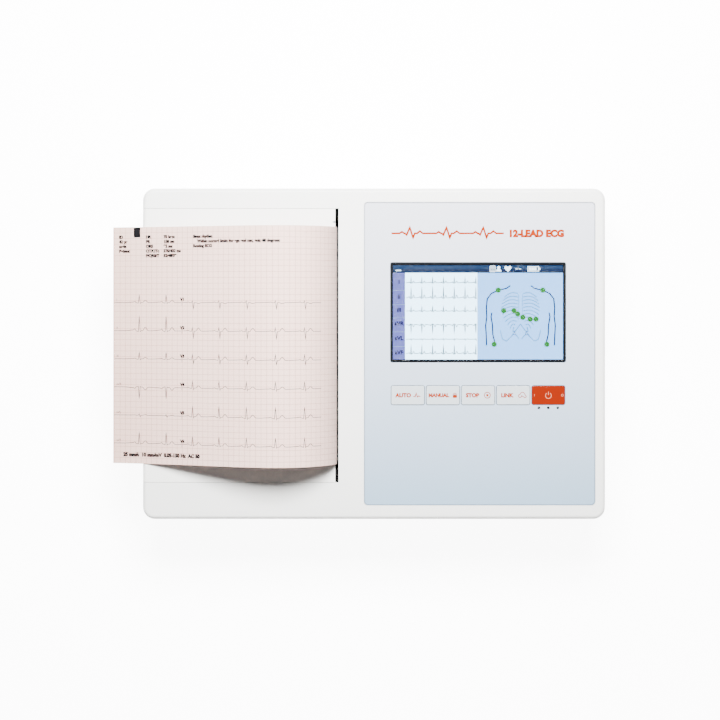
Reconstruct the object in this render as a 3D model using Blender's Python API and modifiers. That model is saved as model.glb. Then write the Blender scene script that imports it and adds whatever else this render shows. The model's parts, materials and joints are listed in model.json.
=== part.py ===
"""Desktop electrocardiograph with a built-in chart writer.

Metres, +Z up. The front of the machine faces -Y, its paper slot is left of the control panel,
and the printed strip curls out of the slot to the left (-X) over the sliding writer door.
The origin is on the table, in the middle of the machine with its paper.
"""
import math

import bmesh
import bpy
from mathutils import Matrix, Vector

# ---- overall sizes ----
CASE_LENGTH = 0.411
CASE_HEIGHT = 0.090
PAPER_WIDTH = 0.210
DOOR_LENGTH = 0.171
PAPER_OVERHANG = 0.027

# ---- fits ----
GAP = 0.0003
RUNNING_FIT = 0.00006
BEYOND = 0.001           # how far a cutter or a joined root runs past its face
SLIDING_FIT = 0.0004

# ---- case ----
WALL = 0.003
CASE_CORNER = 0.0105
INNER_EDGE = 0.0006
DECK_EDGE = WALL + INNER_EDGE
BASE_EDGE = 0.006
SPLIT_HEIGHT = 0.045
DOOR_SIDE_MARGIN = 0.0164
REAR_MARGIN = 0.0181
FRONT_MARGIN = 0.0331
FOOT_RADIUS = 0.008
FOOT_HEIGHT = 0.003
FOOT_INSET = 0.030
FOOT_CHAMFER = 0.0006
SCREW_RADIUS = 0.0015
SCREW_HEAD_RADIUS = 0.0028
SCREW_HEAD_HEIGHT = 0.0018
SCREW_REACH = 0.010
COVER_SCREW_HEAD = 0.6 * SCREW_HEAD_HEIGHT
COVER_SCREW_LENGTH = 0.009
BOSS_RADIUS = 0.0045
BOSS_INSET = 0.012
CASE_SCREW_LENGTH = 0.052
SCREW_HOLE_BEYOND = 0.004
POST_RADIUS = 0.003
VENT_COUNT = 7
VENT_PITCH = 0.006
VENT_WIDTH = 0.0025
VENT_Z = (0.012, 0.030)

# ---- control panel ----
PANEL_SIDE_MARGIN = 0.0093
PANEL_REAR_MARGIN = 0.0124
PANEL_FRONT_MARGIN = 0.0127
PANEL_SLOT_MARGIN = 0.0227
PANEL_CORNER = 0.0035
PANEL_THICKNESS = 0.002
PANEL_RECESS = 0.0007
LEDGE_WIDTH = 0.0043
LEDGE_THICKNESS = 0.003
WINDOW_LEFT_MARGIN = 0.0242
WINDOW_RIGHT_MARGIN = 0.0269
WINDOW_REAR_MARGIN = 0.0543
WINDOW_HEIGHT = 0.0868
WINDOW_CORNER = 0.001
GLASS_THICKNESS = 0.0013
LCD_BORDER = 0.0055
LCD_THICKNESS = 0.0055
LCD_BRACKET_THICKNESS = 0.0017
LCD_BRACKET_MARGIN = 0.003
LCD_BRACKET_RIM = 0.020
LCD_BEZEL = 0.001
LCD_SUNK = 0.001
GLASS_SUNK = 0.0002
KEY_ROW_DROP = 0.0219
KEY_DEPTH = 0.0166
KEY_SPACING = 0.0021
KEY_CORNER = 0.0015
KEY_FLANGE = 0.0012
KEY_FLANGE_THICKNESS = 0.0013
KEY_PROUD = 0.0004
KEY_TRAVEL = 0.0008
SWITCH_SIZE = 0.006
SWITCH_HEIGHT = 0.0028
SWITCH_BODY_HEIGHT = 0.7 * SWITCH_HEIGHT
SWITCH_PLUNGER_RADIUS = 0.00175
BOARD_THICKNESS = 0.0016
KEYPAD_MARGIN = 0.005
KEYPAD_FRONT_MARGIN = 0.006
KEYPAD_REAR_MARGIN = 0.003
STAKE_RADIUS = 0.0012
LIGHT_RADIUS = 0.001
LIGHT_COLLAR = 0.0006
LIGHT_PROUD = 0.0002
LIGHT_DROP = 0.0029
LIGHT_SPACING = 0.0084

# ---- writer door and its rails ----
DOOR_PLATE = 0.003
DOOR_SKIRT = 0.0025
DOOR_SKIRT_DEPTH = 0.018
FASCIA_BOTTOM = 0.060
TONGUE_WIDTH = 0.0036
TONGUE_HEIGHT = 0.003
TONGUE_LENGTH = 0.036
TONGUE_DROP = 0.014
TONGUE_INSET = 0.003
HANGER_CLEARANCE = 0.0012
RAIL_WIDTH = 0.0058
RAIL_HEIGHT = 0.009
EAR_THICKNESS = 0.003
EAR_LENGTH = 0.015
EAR_DEPTH = 0.024
SLOT_WIDTH = 0.003
PADDLE_WIDTH = 0.036
PADDLE_HEIGHT = 0.0135
PADDLE_DROP = 0.012
PADDLE_INSET = 0.0006
PADDLE_THICKNESS = 0.002
LATCH_PIN_RADIUS = 0.00125
LATCH_PIN_INSET = 0.0065
LATCH_PIN_DROP = 0.0148
LATCH_ARM_Y = (0.009, 0.014)
LATCH_ARM_HALF = 0.0026
LATCH_HOOK_X = (0.002, 0.0045)
LATCH_EAR_THICKNESS = 0.003
LATCH_SPRING_RADIUS = 0.0024
LATCH_SPRING_WIRE = 0.0003
LATCH_SPRING_TURNS = 6
LATCH_SPRING_DROP = 0.0078
LATCH_STOP_INSET = 0.0155
LATCH_STOP_THICKNESS = 0.002
LATCH_STOP_HALF = 0.005

# ---- chart writer ----
PAPER_THICKNESS = 0.00025
PAPER_SLOT_SETBACK = 0.0013
ARCH_HEIGHT = 0.0382
ARCH_PEAK_RUN = 0.0503
PAPER_END_DROP = 0.0068
ARCH_RISE_LEAD = 0.016
ARCH_PEAK_LEADS = (0.024, 0.038)
ARCH_END_LEAD = (0.0653, 0.0123)
TAIL_RUNS = (0.060, 0.030)
TAIL_LIFTS = (0.0035, 0.0042)
ROLLER_RADIUS = 0.008
ROLLER_DROP = 0.014
PLATEN_SHAFT_RADIUS = 0.003
BUSH_WALL = 0.0014
BUSH_FLANGE = 0.0012
BUSH_LIP = 0.0015
SHAFT_TAIL = 0.003
GEAR_MODULE = 0.001
GEAR_WIDTH = 0.005
PLATEN_TEETH = 18
IDLER_TEETH = 24
PINION_TEETH = 12
GEAR_PLAY = 0.00015
IDLER_DIRECTION = math.radians(-10)
PINION_DIRECTION = math.radians(-50)
IDLER_PIN_RADIUS = 0.002
MOTOR_HOLE_CLEARANCE = 0.0015
MOTOR_RADIUS = 0.0175
MOTOR_THICKNESS = 0.022
MOTOR_SHAFT_RADIUS = 0.0015
CHEEK = 0.002
CHEEK_TOP_ABOVE_ROLLER = 0.004
HEAD_THICKNESS = 0.0018
HEAD_SIDE_MARGIN = 0.0005
HEAD_HEIGHT = 0.0165
BRACKET_THICKNESS = 0.005
HEAD_PIVOT_RADIUS = 0.002
HEAD_TILT_DROP = 0.013
HEAD_SPRING_RADIUS = 0.0028
HEAD_SPRING_LENGTH = 0.007
HEAD_SPRING_WIRE = 0.0004
HEAD_SPRING_TURNS = 4
HEAD_BELOW_ROLLER = 0.010
PIVOT_BOSS_WALL = 0.0018
TEAR_BAR_THICKNESS = 0.0007
TEAR_TOOTH = 0.003
TEAR_TOOTH_DEPTH = 0.0012
TEAR_BAR_DEPTH = 0.0055
TEAR_BAR_SUNK = 0.0006

# ---- paper store and battery ----
STACK_LENGTH = 0.150
STACK_HEIGHT = 0.020
TRAY_WALL = 0.0015
TRAY_FLOOR = 0.002
TRAY_DROP = 0.028
TRAY_SIDE_GAP = 0.0015
BATTERY_LENGTH = 0.140
BATTERY_WIDTH = 0.062
BATTERY_HEIGHT = 0.020
BATTERY_COVER_THICKNESS = 0.0024
BATTERY_LEDGE = 0.0025
BATTERY_SCREW_LEDGE = 0.009
BATTERY_SKIN = 0.002

# ---- electronics and sockets ----
SOCKET_RECESS = 0.0025
INLET_CUTOUT = (0.0268, 0.0196)
INLET_FLANGE = (0.031, 0.024)
INLET_DEPTH = 0.0165
INLET_CAVITY = (0.0240, 0.0160)
JACK_WALL = 0.001
LAN_SIZE = (0.016, 0.0135, 0.021)
USB_SIZE = (0.0145, 0.0072, 0.014)
GROUND_STUD_RADIUS = 0.003
GROUND_STUD_LENGTH = 0.016
GROUND_STUD_NECK = 0.0022
GROUND_STUD_STEP = 0.0005
PATIENT_SOCKET = (0.0392, 0.0125)
PATIENT_BOX = (0.006, 0.004)
PATIENT_OPENING = (0.0250, 0.0090)
PATIENT_BODY = (0.0260, 0.0100)
PATIENT_SHELL = (0.0244, 0.0084)
PATIENT_SHELL_REACH = 0.005
PATIENT_FLANGE = 0.001
PATIENT_DEPTH = 0.009

# ---- places worked out from the sizes ----
CASE_LEFT = -(CASE_LENGTH - PAPER_OVERHANG) / 2
CASE_RIGHT = CASE_LEFT + CASE_LENGTH
DOOR_WIDTH = PAPER_WIDTH + 2 * DOOR_SIDE_MARGIN
CASE_WIDTH = DOOR_WIDTH + REAR_MARGIN + FRONT_MARGIN
CASE_FRONT = -CASE_WIDTH / 2
CASE_REAR = CASE_WIDTH / 2
CASE_BASE = FOOT_HEIGHT + GAP
DECK = CASE_HEIGHT
DOOR_Y = CASE_REAR - REAR_MARGIN - DOOR_WIDTH / 2
DOOR_END = CASE_LEFT + DOOR_LENGTH
DECK_START = DOOR_END + SLOT_WIDTH
PAPER_X = DOOR_END + PAPER_SLOT_SETBACK
ROLLER_X = PAPER_X - PAPER_THICKNESS / 2 - GAP - ROLLER_RADIUS
ROLLER_Z = DECK - ROLLER_DROP
TONGUE_BASE = DECK - TONGUE_DROP
RAIL_MIDDLE = TONGUE_BASE + TONGUE_HEIGHT / 2
PANEL_X = (DECK_START + PANEL_SLOT_MARGIN, CASE_RIGHT - PANEL_SIDE_MARGIN)
PANEL_Y = (CASE_FRONT + PANEL_FRONT_MARGIN, CASE_REAR - PANEL_REAR_MARGIN)
PANEL_TOP = DECK - PANEL_RECESS
PANEL_BOTTOM = PANEL_TOP - PANEL_THICKNESS
WINDOW_X = (PANEL_X[0] + WINDOW_LEFT_MARGIN, PANEL_X[1] - WINDOW_RIGHT_MARGIN)
WINDOW_Y = (PANEL_Y[1] - WINDOW_REAR_MARGIN - WINDOW_HEIGHT, PANEL_Y[1] - WINDOW_REAR_MARGIN)
KEY_Y = (WINDOW_Y[0] - KEY_ROW_DROP - KEY_DEPTH, WINDOW_Y[0] - KEY_ROW_DROP)
KEY_WIDTH = (WINDOW_X[1] - WINDOW_X[0] - 4 * KEY_SPACING) / 5
SWITCH_TOP = PANEL_BOTTOM - GAP - KEY_FLANGE_THICKNESS - KEY_TRAVEL - GAP
KEYPAD_TOP = SWITCH_TOP - SWITCH_HEIGHT
EAR_Y = PAPER_WIDTH / 2 + 0.0015
GEAR_Y = EAR_Y + EAR_THICKNESS + BUSH_FLANGE + 2 * GAP
TRAY_TOP = DECK - TRAY_DROP
BATTERY_X = CASE_LEFT + 0.014
BATTERY_Y = DOOR_Y
BATTERY_BAY = ((BATTERY_X, BATTERY_X + BATTERY_LENGTH + 2 * GAP),
               (BATTERY_Y - BATTERY_WIDTH / 2 - GAP, BATTERY_Y + BATTERY_WIDTH / 2 + GAP))
BATTERY_OPENING = ((BATTERY_BAY[0][0] - BATTERY_LEDGE, BATTERY_BAY[0][1] + BATTERY_SCREW_LEDGE),
                   (BATTERY_BAY[1][0] - BATTERY_LEDGE, BATTERY_BAY[1][1] + BATTERY_LEDGE))
BATTERY_COVER_BASE = CASE_BASE + GAP
BATTERY_COVER_TOP = BATTERY_COVER_BASE + BATTERY_COVER_THICKNESS
BATTERY_TOP = BATTERY_COVER_TOP + GAP + BATTERY_HEIGHT
BATTERY_ROOF = BATTERY_TOP + GAP + BATTERY_SKIN
BATTERY_SCREW = (BATTERY_BAY[0][1] + BATTERY_SCREW_LEDGE / 2, BATTERY_Y)
TRAY_BASE = BATTERY_ROOF + GAP
LATCH_AXIS = (CASE_LEFT + LATCH_PIN_INSET, DECK - LATCH_PIN_DROP)
PADDLE_FACE = CASE_LEFT + PADDLE_INSET
PADDLE_TOP = DECK - PADDLE_DROP
PADDLE_BOTTOM = PADDLE_TOP - PADDLE_HEIGHT
PADDLE_SWING = math.hypot(LATCH_AXIS[0] - PADDLE_FACE, LATCH_AXIS[1] - PADDLE_BOTTOM)
LATCH_SPRING_Z = LATCH_AXIS[1] - LATCH_SPRING_DROP
LATCH_SPRING_START = PADDLE_FACE + PADDLE_THICKNESS + GAP
LATCH_SPRING_STOP = CASE_LEFT + LATCH_STOP_INSET

FINISHES = {
    "white_plastic": ((0.86, 0.86, 0.84), 0.42, 0.0),
    "panel_plastic": ((0.68, 0.75, 0.78), 0.16, 0.0),
    "orange_plastic": ((0.70, 0.13, 0.02), 0.35, 0.0),
    "dark_plastic": ((0.03, 0.03, 0.035), 0.5, 0.0),
    "grey_plastic": ((0.32, 0.33, 0.34), 0.5, 0.0),
    "clear_glass": ((0.05, 0.07, 0.09), 0.05, 0.0),
    "light_pipe": ((0.75, 0.80, 0.80), 0.2, 0.0),
    "rubber": ((0.03, 0.03, 0.03), 0.8, 0.0),
    "steel": ((0.60, 0.60, 0.60), 0.3, 1.0),
    "aluminium": ((0.75, 0.76, 0.77), 0.35, 1.0),
    "brass": ((0.70, 0.52, 0.22), 0.3, 1.0),
    "acetal": ((0.85, 0.84, 0.78), 0.4, 0.0),
    "ceramic": ((0.80, 0.79, 0.74), 0.3, 0.0),
    "circuit_board": ((0.02, 0.22, 0.10), 0.45, 0.0),
    "battery_wrap": ((0.05, 0.12, 0.30), 0.45, 0.0),
    "paper": ((0.88, 0.72, 0.70), 0.7, 0.0),
}


# ---- scene and material helpers ----
def clear_scene():
    for old in list(bpy.data.objects):
        bpy.data.objects.remove(old, do_unlink=True)


def new_collection(name):
    group = bpy.data.collections.new(name)
    bpy.context.scene.collection.children.link(group)
    return group


def make_material(name, finish):
    colour, roughness, metallic = FINISHES[finish]
    made = bpy.data.materials.new(name + "_" + finish)
    made.use_nodes = True
    shader = made.node_tree.nodes["Principled BSDF"]
    shader.inputs["Base Color"].default_value = (*colour, 1.0)
    shader.inputs["Roughness"].default_value = roughness
    shader.inputs["Metallic"].default_value = metallic
    return made


clear_scene()
PARTS = new_collection("ecg_machine")
CUTTERS = new_collection("cutters")


# ---- shape helpers ----
def box_mesh(low, high, corner=0.0, segments=5):
    """A box between two corners, with its four upright edges rounded."""
    bm = bmesh.new()
    bmesh.ops.create_cube(bm, size=1.0)
    size = Vector(high) - Vector(low)
    bmesh.ops.scale(bm, vec=size, verts=bm.verts)
    bmesh.ops.translate(bm, vec=(Vector(high) + Vector(low)) / 2, verts=bm.verts)
    if corner > 0:
        upright = [edge for edge in bm.edges if abs((edge.verts[0].co - edge.verts[1].co).z) > 0]
        bmesh.ops.bevel(bm, geom=upright, offset=corner, segments=segments, profile=0.5,
                        affect="EDGES")
    return bm


def rod_mesh(start, end, radius, sides=24):
    """A round bar between two points."""
    start, end = Vector(start), Vector(end)
    turn = (end - start).to_track_quat("Z", "Y").to_matrix().to_4x4()
    bm = bmesh.new()
    bmesh.ops.create_cone(bm, cap_ends=True, segments=sides, radius1=radius, radius2=radius,
                          depth=(end - start).length,
                          matrix=Matrix.Translation((start + end) / 2) @ turn)
    return bm


def prism_mesh(outline, y0, y1):
    """A side view of (x, z) points drawn out along Y."""
    bm = bmesh.new()
    near = [bm.verts.new((x, y0, z)) for x, z in outline]
    far = [bm.verts.new((x, y1, z)) for x, z in outline]
    bm.faces.new(near)
    bm.faces.new(far[::-1])
    for index in range(len(outline)):
        bm.faces.new((near[index], near[index - 1], far[index - 1], far[index]))
    bmesh.ops.recalc_face_normals(bm, faces=bm.faces)
    return bm


def add(name, bm, finish, origin=None, collection=None):
    """Put a mesh in the scene as one piece with its origin where it is asked for."""
    if origin is None:
        corners = [vert.co for vert in bm.verts]
        origin = sum(corners, Vector()) / len(corners)
    origin = Vector(origin)
    bmesh.ops.translate(bm, vec=-origin, verts=bm.verts)
    mesh = bpy.data.meshes.new(name)
    bm.to_mesh(mesh)
    bm.free()
    piece = bpy.data.objects.new(name, mesh)
    piece.location = origin
    (collection or PARTS).objects.link(piece)
    if finish:
        mesh.materials.append(make_material(name, finish))
    return piece


def smooth(piece, angle=35):
    piece.data.shade_smooth()
    piece.data.set_sharp_from_angle(angle=math.radians(angle))


def combine(piece, bm, operation):
    """Join a shape to a piece, or cut it out of the piece."""
    tool = add(piece.name + "_tool", bm, None, collection=CUTTERS)
    tool.hide_render = True
    tool.display_type = "WIRE"
    boolean = piece.modifiers.new(operation.lower(), "BOOLEAN")
    boolean.operation = operation
    boolean.solver = "EXACT"
    boolean.object = tool


def join(piece, *shapes):
    for shape in shapes:
        combine(piece, shape, "UNION")


def cut(piece, *shapes):
    for shape in shapes:
        combine(piece, shape, "DIFFERENCE")


def round_edges(piece, width, segments=2, angle=50):
    bevel = piece.modifiers.new("edges", "BEVEL")
    bevel.width = width
    bevel.segments = segments
    bevel.limit_method = "ANGLE"
    bevel.angle_limit = math.radians(angle)


def turned(name, profile, origin, finish, axis="Z", sides=24):
    """A lathe shape: (radius, height) points down the outer side, turned about its own axis."""
    bm = bmesh.new()
    points = [bm.verts.new((radius, 0.0, height)) for radius, height in profile]
    for first, second in zip(points, points[1:]):
        bm.edges.new((first, second))
    if profile[0][0] > 0:
        bm.edges.new((points[-1], points[0]))
    piece = add(name, bm, finish, origin=(0, 0, 0))
    lathe = piece.modifiers.new("lathe", "SCREW")
    lathe.angle = math.tau
    lathe.axis = "Z"
    lathe.steps = sides
    lathe.render_steps = sides
    lathe.use_merge_vertices = True
    lathe.merge_threshold = 0.00001
    piece.location = origin
    if axis == "Y":
        piece.rotation_euler = (-math.pi / 2, 0, 0)
    if axis == "X":
        piece.rotation_euler = (0, math.pi / 2, 0)
    return piece


def arc(centre, radius, start, end, steps):
    """Points along an arc, in degrees."""
    angles = [math.radians(start + (end - start) * step / steps) for step in range(steps + 1)]
    return [(centre[0] + radius * math.cos(a), centre[1] + radius * math.sin(a)) for a in angles]


def bezier(start, handle_a, handle_b, end, steps):
    """Points along a cubic curve."""
    points = []
    for step in range(steps + 1):
        t = step / steps
        weights = ((1 - t) ** 3, 3 * t * (1 - t) ** 2, 3 * t * t * (1 - t), t ** 3)
        corners = (start, handle_a, handle_b, end)
        points.append(tuple(sum(w * p[k] for w, p in zip(weights, corners)) for k in (0, 1)))
    return points


def flat_outline(name, outlines, thickness, origin, finish, axis="Y", spin=0.0):
    """A flat plate from closed outlines; the second and later outlines are holes."""
    curve = bpy.data.curves.new(name, "CURVE")
    curve.dimensions = "2D"
    curve.fill_mode = "BOTH"
    curve.extrude = thickness / 2
    for outline in outlines:
        spline = curve.splines.new("POLY")
        spline.points.add(len(outline) - 1)
        spline.use_cyclic_u = True
        for point, (x, y) in zip(spline.points, outline):
            point.co = (x, y, 0.0, 1.0)
    curve.materials.append(make_material(name, finish))
    piece = bpy.data.objects.new(name, curve)
    piece.location = origin
    if axis == "Y":
        piece.rotation_euler = (math.pi / 2, 0, 0)
    piece.rotation_euler.rotate_axis("Z", spin)
    PARTS.objects.link(piece)
    return piece


def coil(name, start, end, radius, wire, turns, finish, points_per_turn=8):
    """A compression spring along X."""
    curve = bpy.data.curves.new(name, "CURVE")
    curve.dimensions = "3D"
    curve.bevel_depth = wire
    curve.bevel_resolution = 1
    curve.use_fill_caps = True
    spline = curve.splines.new("POLY")
    count = turns * points_per_turn + 1
    spline.points.add(count - 1)
    length = (Vector(end) - Vector(start)).length - 2 * wire
    for step, point in enumerate(spline.points):
        angle = math.tau * step / points_per_turn
        x = wire + length * step / (count - 1)
        point.co = (x, radius * math.cos(angle), radius * math.sin(angle), 1.0)
    curve.materials.append(make_material(name, finish))
    piece = bpy.data.objects.new(name, curve)
    piece.location = start
    PARTS.objects.link(piece)
    return piece


# ---- gears ----
def pitch_radius(teeth):
    return teeth * GEAR_MODULE / 2


def gear_outline(teeth, first_tooth):
    """An involute outline with a tooth centred on the first_tooth angle."""
    pressure = math.radians(20)
    pitch = pitch_radius(teeth)
    base = pitch * math.cos(pressure)
    tip = pitch + 0.8 * GEAR_MODULE
    root = pitch - 1.2 * GEAR_MODULE
    involute_at_pitch = math.tan(pressure) - pressure
    half_tooth = math.pi / (2 * teeth) - GEAR_PLAY / (2 * pitch)
    flank = []
    for radius in (max(base, root), pitch, tip):
        roll = math.acos(min(1.0, base / radius))
        flank.append((radius, half_tooth + involute_at_pitch - (math.tan(roll) - roll)))
    if root < base:
        flank.insert(0, (root, flank[0][1]))
    outline = []
    for tooth in range(teeth):
        middle = first_tooth + math.tau * tooth / teeth
        for radius, half in flank:
            outline.append((radius * math.cos(middle - half), radius * math.sin(middle - half)))
        for radius, half in reversed(flank):
            outline.append((radius * math.cos(middle + half), radius * math.sin(middle + half)))
    return outline


def meshed_angle(first_tooth, teeth, direction, next_teeth):
    """First tooth angle of the next gear, whose gap takes this gear's nearest tooth."""
    pitch = math.tau / teeth
    offset = (first_tooth - direction + pitch / 2) % pitch - pitch / 2
    return direction + math.pi - offset * teeth / next_teeth + math.pi / next_teeth


def beyond(centre, direction, teeth_a, teeth_b):
    """Centre of the next gear along a direction, with the play added."""
    distance = pitch_radius(teeth_a) + pitch_radius(teeth_b) + GEAR_PLAY
    return (centre[0] + distance * math.cos(direction), centre[1] + distance * math.sin(direction))


ROLLER_CENTRE = (ROLLER_X, ROLLER_Z)
IDLER_CENTRE = beyond(ROLLER_CENTRE, IDLER_DIRECTION, PLATEN_TEETH, IDLER_TEETH)
PINION_CENTRE = beyond(IDLER_CENTRE, PINION_DIRECTION, IDLER_TEETH, PINION_TEETH)
IDLER_FIRST_TOOTH = meshed_angle(IDLER_DIRECTION, PLATEN_TEETH, IDLER_DIRECTION, IDLER_TEETH)
PINION_FIRST_TOOTH = meshed_angle(IDLER_FIRST_TOOTH, IDLER_TEETH, PINION_DIRECTION, PINION_TEETH)
GEAR_MID_Y = DOOR_Y - GEAR_Y - GEAR_WIDTH / 2
INNER_CHEEK_Y = EAR_Y
OUTER_CHEEK_Y = GEAR_Y + GEAR_WIDTH + 0.0007
CHASSIS_LEFT = DECK_START + 0.0005
HEAD_FACE = PAPER_X + PAPER_THICKNESS / 2 + GAP
BRACKET_LEFT = HEAD_FACE + HEAD_THICKNESS + GAP
PIVOT_X = BRACKET_LEFT + BRACKET_THICKNESS / 2
PIVOT_Z = ROLLER_Z - HEAD_TILT_DROP
SPRING_LEFT = BRACKET_LEFT + BRACKET_THICKNESS + GAP
SPRING_WALL_X = SPRING_LEFT + HEAD_SPRING_LENGTH + GAP
MOTOR_Y = DOOR_Y - OUTER_CHEEK_Y - CHEEK - GAP
CHASSIS_BASE = PINION_CENTRE[1] - MOTOR_RADIUS - 0.0008


def bored_gear(name, teeth, first_tooth, bore, centre):
    hole = arc((0, 0), bore, 0, 360, 24)[:-1]
    return flat_outline(name, [gear_outline(teeth, first_tooth), hole], GEAR_WIDTH,
                        (centre[0], GEAR_MID_Y, centre[1]), "acetal")


# ---- case ----
def open_shell(name, low, high, open_top, edge):
    """A tray or lid with rounded corners: an open surface given its wall inwards."""
    bm = box_mesh(low, high, CASE_CORNER, 6)
    end_height = high[2] if open_top else low[2]
    lid = [face for face in bm.faces if all(abs(v.co.z - end_height) < 1e-6 for v in face.verts)]
    bmesh.ops.delete(bm, geom=lid, context="FACES")
    shell = add(name, bm, "white_plastic")
    round_edges(shell, edge, segments=3)
    wall = shell.modifiers.new("wall", "SOLIDIFY")
    wall.thickness = WALL
    wall.offset = -1
    wall.use_even_offset = True
    return shell


def case_corners():
    """The four case screws; the rear pair stands just outside the rear door rail."""
    rail_side = DOOR_Y + DOOR_WIDTH / 2 + GAP + RAIL_WIDTH
    ys = (CASE_FRONT + BOSS_INSET, rail_side + GAP + BOSS_RADIUS)
    return [(x, y) for x in (CASE_LEFT + BOSS_INSET, CASE_RIGHT - BOSS_INSET) for y in ys]


def foot_places():
    ys = (CASE_FRONT + FOOT_INSET, CASE_REAR - FOOT_INSET)
    return [(x, y) for x in (CASE_LEFT + FOOT_INSET, CASE_RIGHT - FOOT_INSET) for y in ys]


INLET_X = CASE_RIGHT - 0.039
STUD_X = CASE_RIGHT - 0.068
LAN_X = CASE_RIGHT - 0.093
USB_X = CASE_RIGHT - 0.119
SOCKET_WALL_OUTER = CASE_REAR - SOCKET_RECESS
SOCKET_WALL_INNER = SOCKET_WALL_OUTER - WALL
SOCKET_FIELD_X = (USB_X - 0.015, INLET_X + 0.020)
SOCKET_FIELD_Z = (CASE_BASE + 0.0057, CASE_BASE + 0.0352)
MAIN_BOARD_BASE = CASE_BASE + 0.0107
MAIN_BOARD_TOP = MAIN_BOARD_BASE + BOARD_THICKNESS
INLET_Z = CASE_BASE + 0.0207
LAN_Z = MAIN_BOARD_TOP + GAP + LAN_SIZE[1] / 2
USB_Z = MAIN_BOARD_TOP + GAP + USB_SIZE[1] / 2
PATIENT_Y = -0.010
PATIENT_Z = CASE_BASE + 0.0187
PATIENT_RECESS = 0.006
PATIENT_WALL_OUTER = CASE_RIGHT - PATIENT_RECESS
BOARD_X = (DECK_START + 0.050, INLET_X - 0.024)
BOARD_Y = (CASE_FRONT + 0.030, SOCKET_WALL_INNER - 0.0155)
ECG_X = (BOARD_X[1] + 0.004, PATIENT_WALL_OUTER - WALL - 0.018)
ECG_Y = (PATIENT_Y - 0.045, PATIENT_Y + 0.045)
SUPPLY_X = (BOARD_X[1] + 0.004, CASE_RIGHT - 0.019)
SUPPLY_Y = (ECG_Y[1] + 0.005, SOCKET_WALL_INNER - 0.026)


def make_lower_case():
    top = SPLIT_HEIGHT
    case = open_shell("lower_case", (CASE_LEFT, CASE_FRONT, CASE_BASE),
                      (CASE_RIGHT, CASE_REAR, top), True, BASE_EDGE)
    for x, y in case_corners():
        join(case, rod_mesh((x, y, CASE_BASE + WALL / 2), (x, y, top - GAP), BOSS_RADIUS, 16))
    for x, y in board_posts() + chassis_posts():
        height = CHASSIS_BASE - GAP if (x, y) in chassis_posts() else MAIN_BOARD_BASE - GAP
        join(case, rod_mesh((x, y, CASE_BASE + WALL / 2), (x, y, height), POST_RADIUS, 12))
    add_battery_bay(case)
    add_socket_walls(case)
    for x, y in case_corners():
        cut(case, rod_mesh((x, y, CASE_BASE - WALL), (x, y, top + WALL), SCREW_RADIUS + GAP, 12))
        cut(case, rod_mesh((x, y, CASE_BASE - WALL), (x, y, CASE_BASE + SCREW_HEAD_HEIGHT + 2 * GAP),
                           SCREW_HEAD_RADIUS + GAP, 16))
    for slot in range(VENT_COUNT):
        x = BOARD_X[0] + slot * VENT_PITCH
        cut(case, box_mesh((x, CASE_REAR - 2 * WALL, CASE_BASE + VENT_Z[0]),
                           (x + VENT_WIDTH, CASE_REAR + WALL, CASE_BASE + VENT_Z[1])))
    return case


def add_battery_bay(case):
    (x0, x1), (y0, y1) = BATTERY_OPENING
    join(case, box_mesh((x0 - BATTERY_SKIN, y0 - BATTERY_SKIN, CASE_BASE + WALL / 2),
                        (x1 + BATTERY_SKIN, y1 + BATTERY_SKIN, BATTERY_ROOF)))
    cut(case, box_mesh((x0, y0, CASE_BASE - WALL), (x1, y1, BATTERY_COVER_TOP + GAP)))
    (x0, x1), (y0, y1) = BATTERY_BAY
    cut(case, box_mesh((x0, y0, CASE_BASE), (x1, y1, BATTERY_TOP + GAP)))
    x, y = BATTERY_SCREW
    cut(case, rod_mesh((x, y, CASE_BASE), (x, y, BATTERY_COVER_TOP + SCREW_REACH), SCREW_RADIUS + GAP, 12))


def add_socket_walls(case):
    """Sunk walls for the rear sockets and the patient connector, then their openings."""
    x0, x1 = SOCKET_FIELD_X
    z0, z1 = SOCKET_FIELD_Z
    join(case, box_mesh((x0 - WALL, SOCKET_WALL_INNER, z0 - WALL),
                        (x1 + WALL, CASE_REAR - WALL / 2, z1 + WALL)))
    cut(case, box_mesh((x0, SOCKET_WALL_OUTER, z0), (x1, CASE_REAR + WALL, z1)))
    deep = SOCKET_WALL_INNER - WALL
    for x, z, (wide, tall) in ((INLET_X, INLET_Z, INLET_CUTOUT), (LAN_X, LAN_Z, LAN_SIZE[:2]),
                               (USB_X, USB_Z, USB_SIZE[:2])):
        cut(case, box_mesh((x - wide / 2 - GAP, deep, z - tall / 2 - GAP),
                           (x + wide / 2 + GAP, CASE_REAR, z + tall / 2 + GAP)))
    cut(case, rod_mesh((STUD_X, deep, INLET_Z), (STUD_X, CASE_REAR, INLET_Z),
                       GROUND_STUD_RADIUS + GAP, 16))
    wide, tall = PATIENT_SOCKET
    y0, y1 = PATIENT_Y - wide / 2 - PATIENT_BOX[0], PATIENT_Y + wide / 2 + PATIENT_BOX[0]
    z0, z1 = PATIENT_Z - tall / 2 - PATIENT_BOX[1], PATIENT_Z + tall / 2 + PATIENT_BOX[1]
    inner = PATIENT_WALL_OUTER - WALL
    join(case, box_mesh((inner, y0 - WALL, z0 - WALL), (CASE_RIGHT - WALL / 2, y1 + WALL, z1 + WALL)))
    cut(case, box_mesh((PATIENT_WALL_OUTER, y0, z0), (CASE_RIGHT + WALL, y1, z1)))
    half_y, half_z = PATIENT_OPENING[0] / 2 + GAP, PATIENT_OPENING[1] / 2 + GAP
    cut(case, box_mesh((inner - WALL, PATIENT_Y - half_y, PATIENT_Z - half_z),
                       (CASE_RIGHT, PATIENT_Y + half_y, PATIENT_Z + half_z)))


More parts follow.
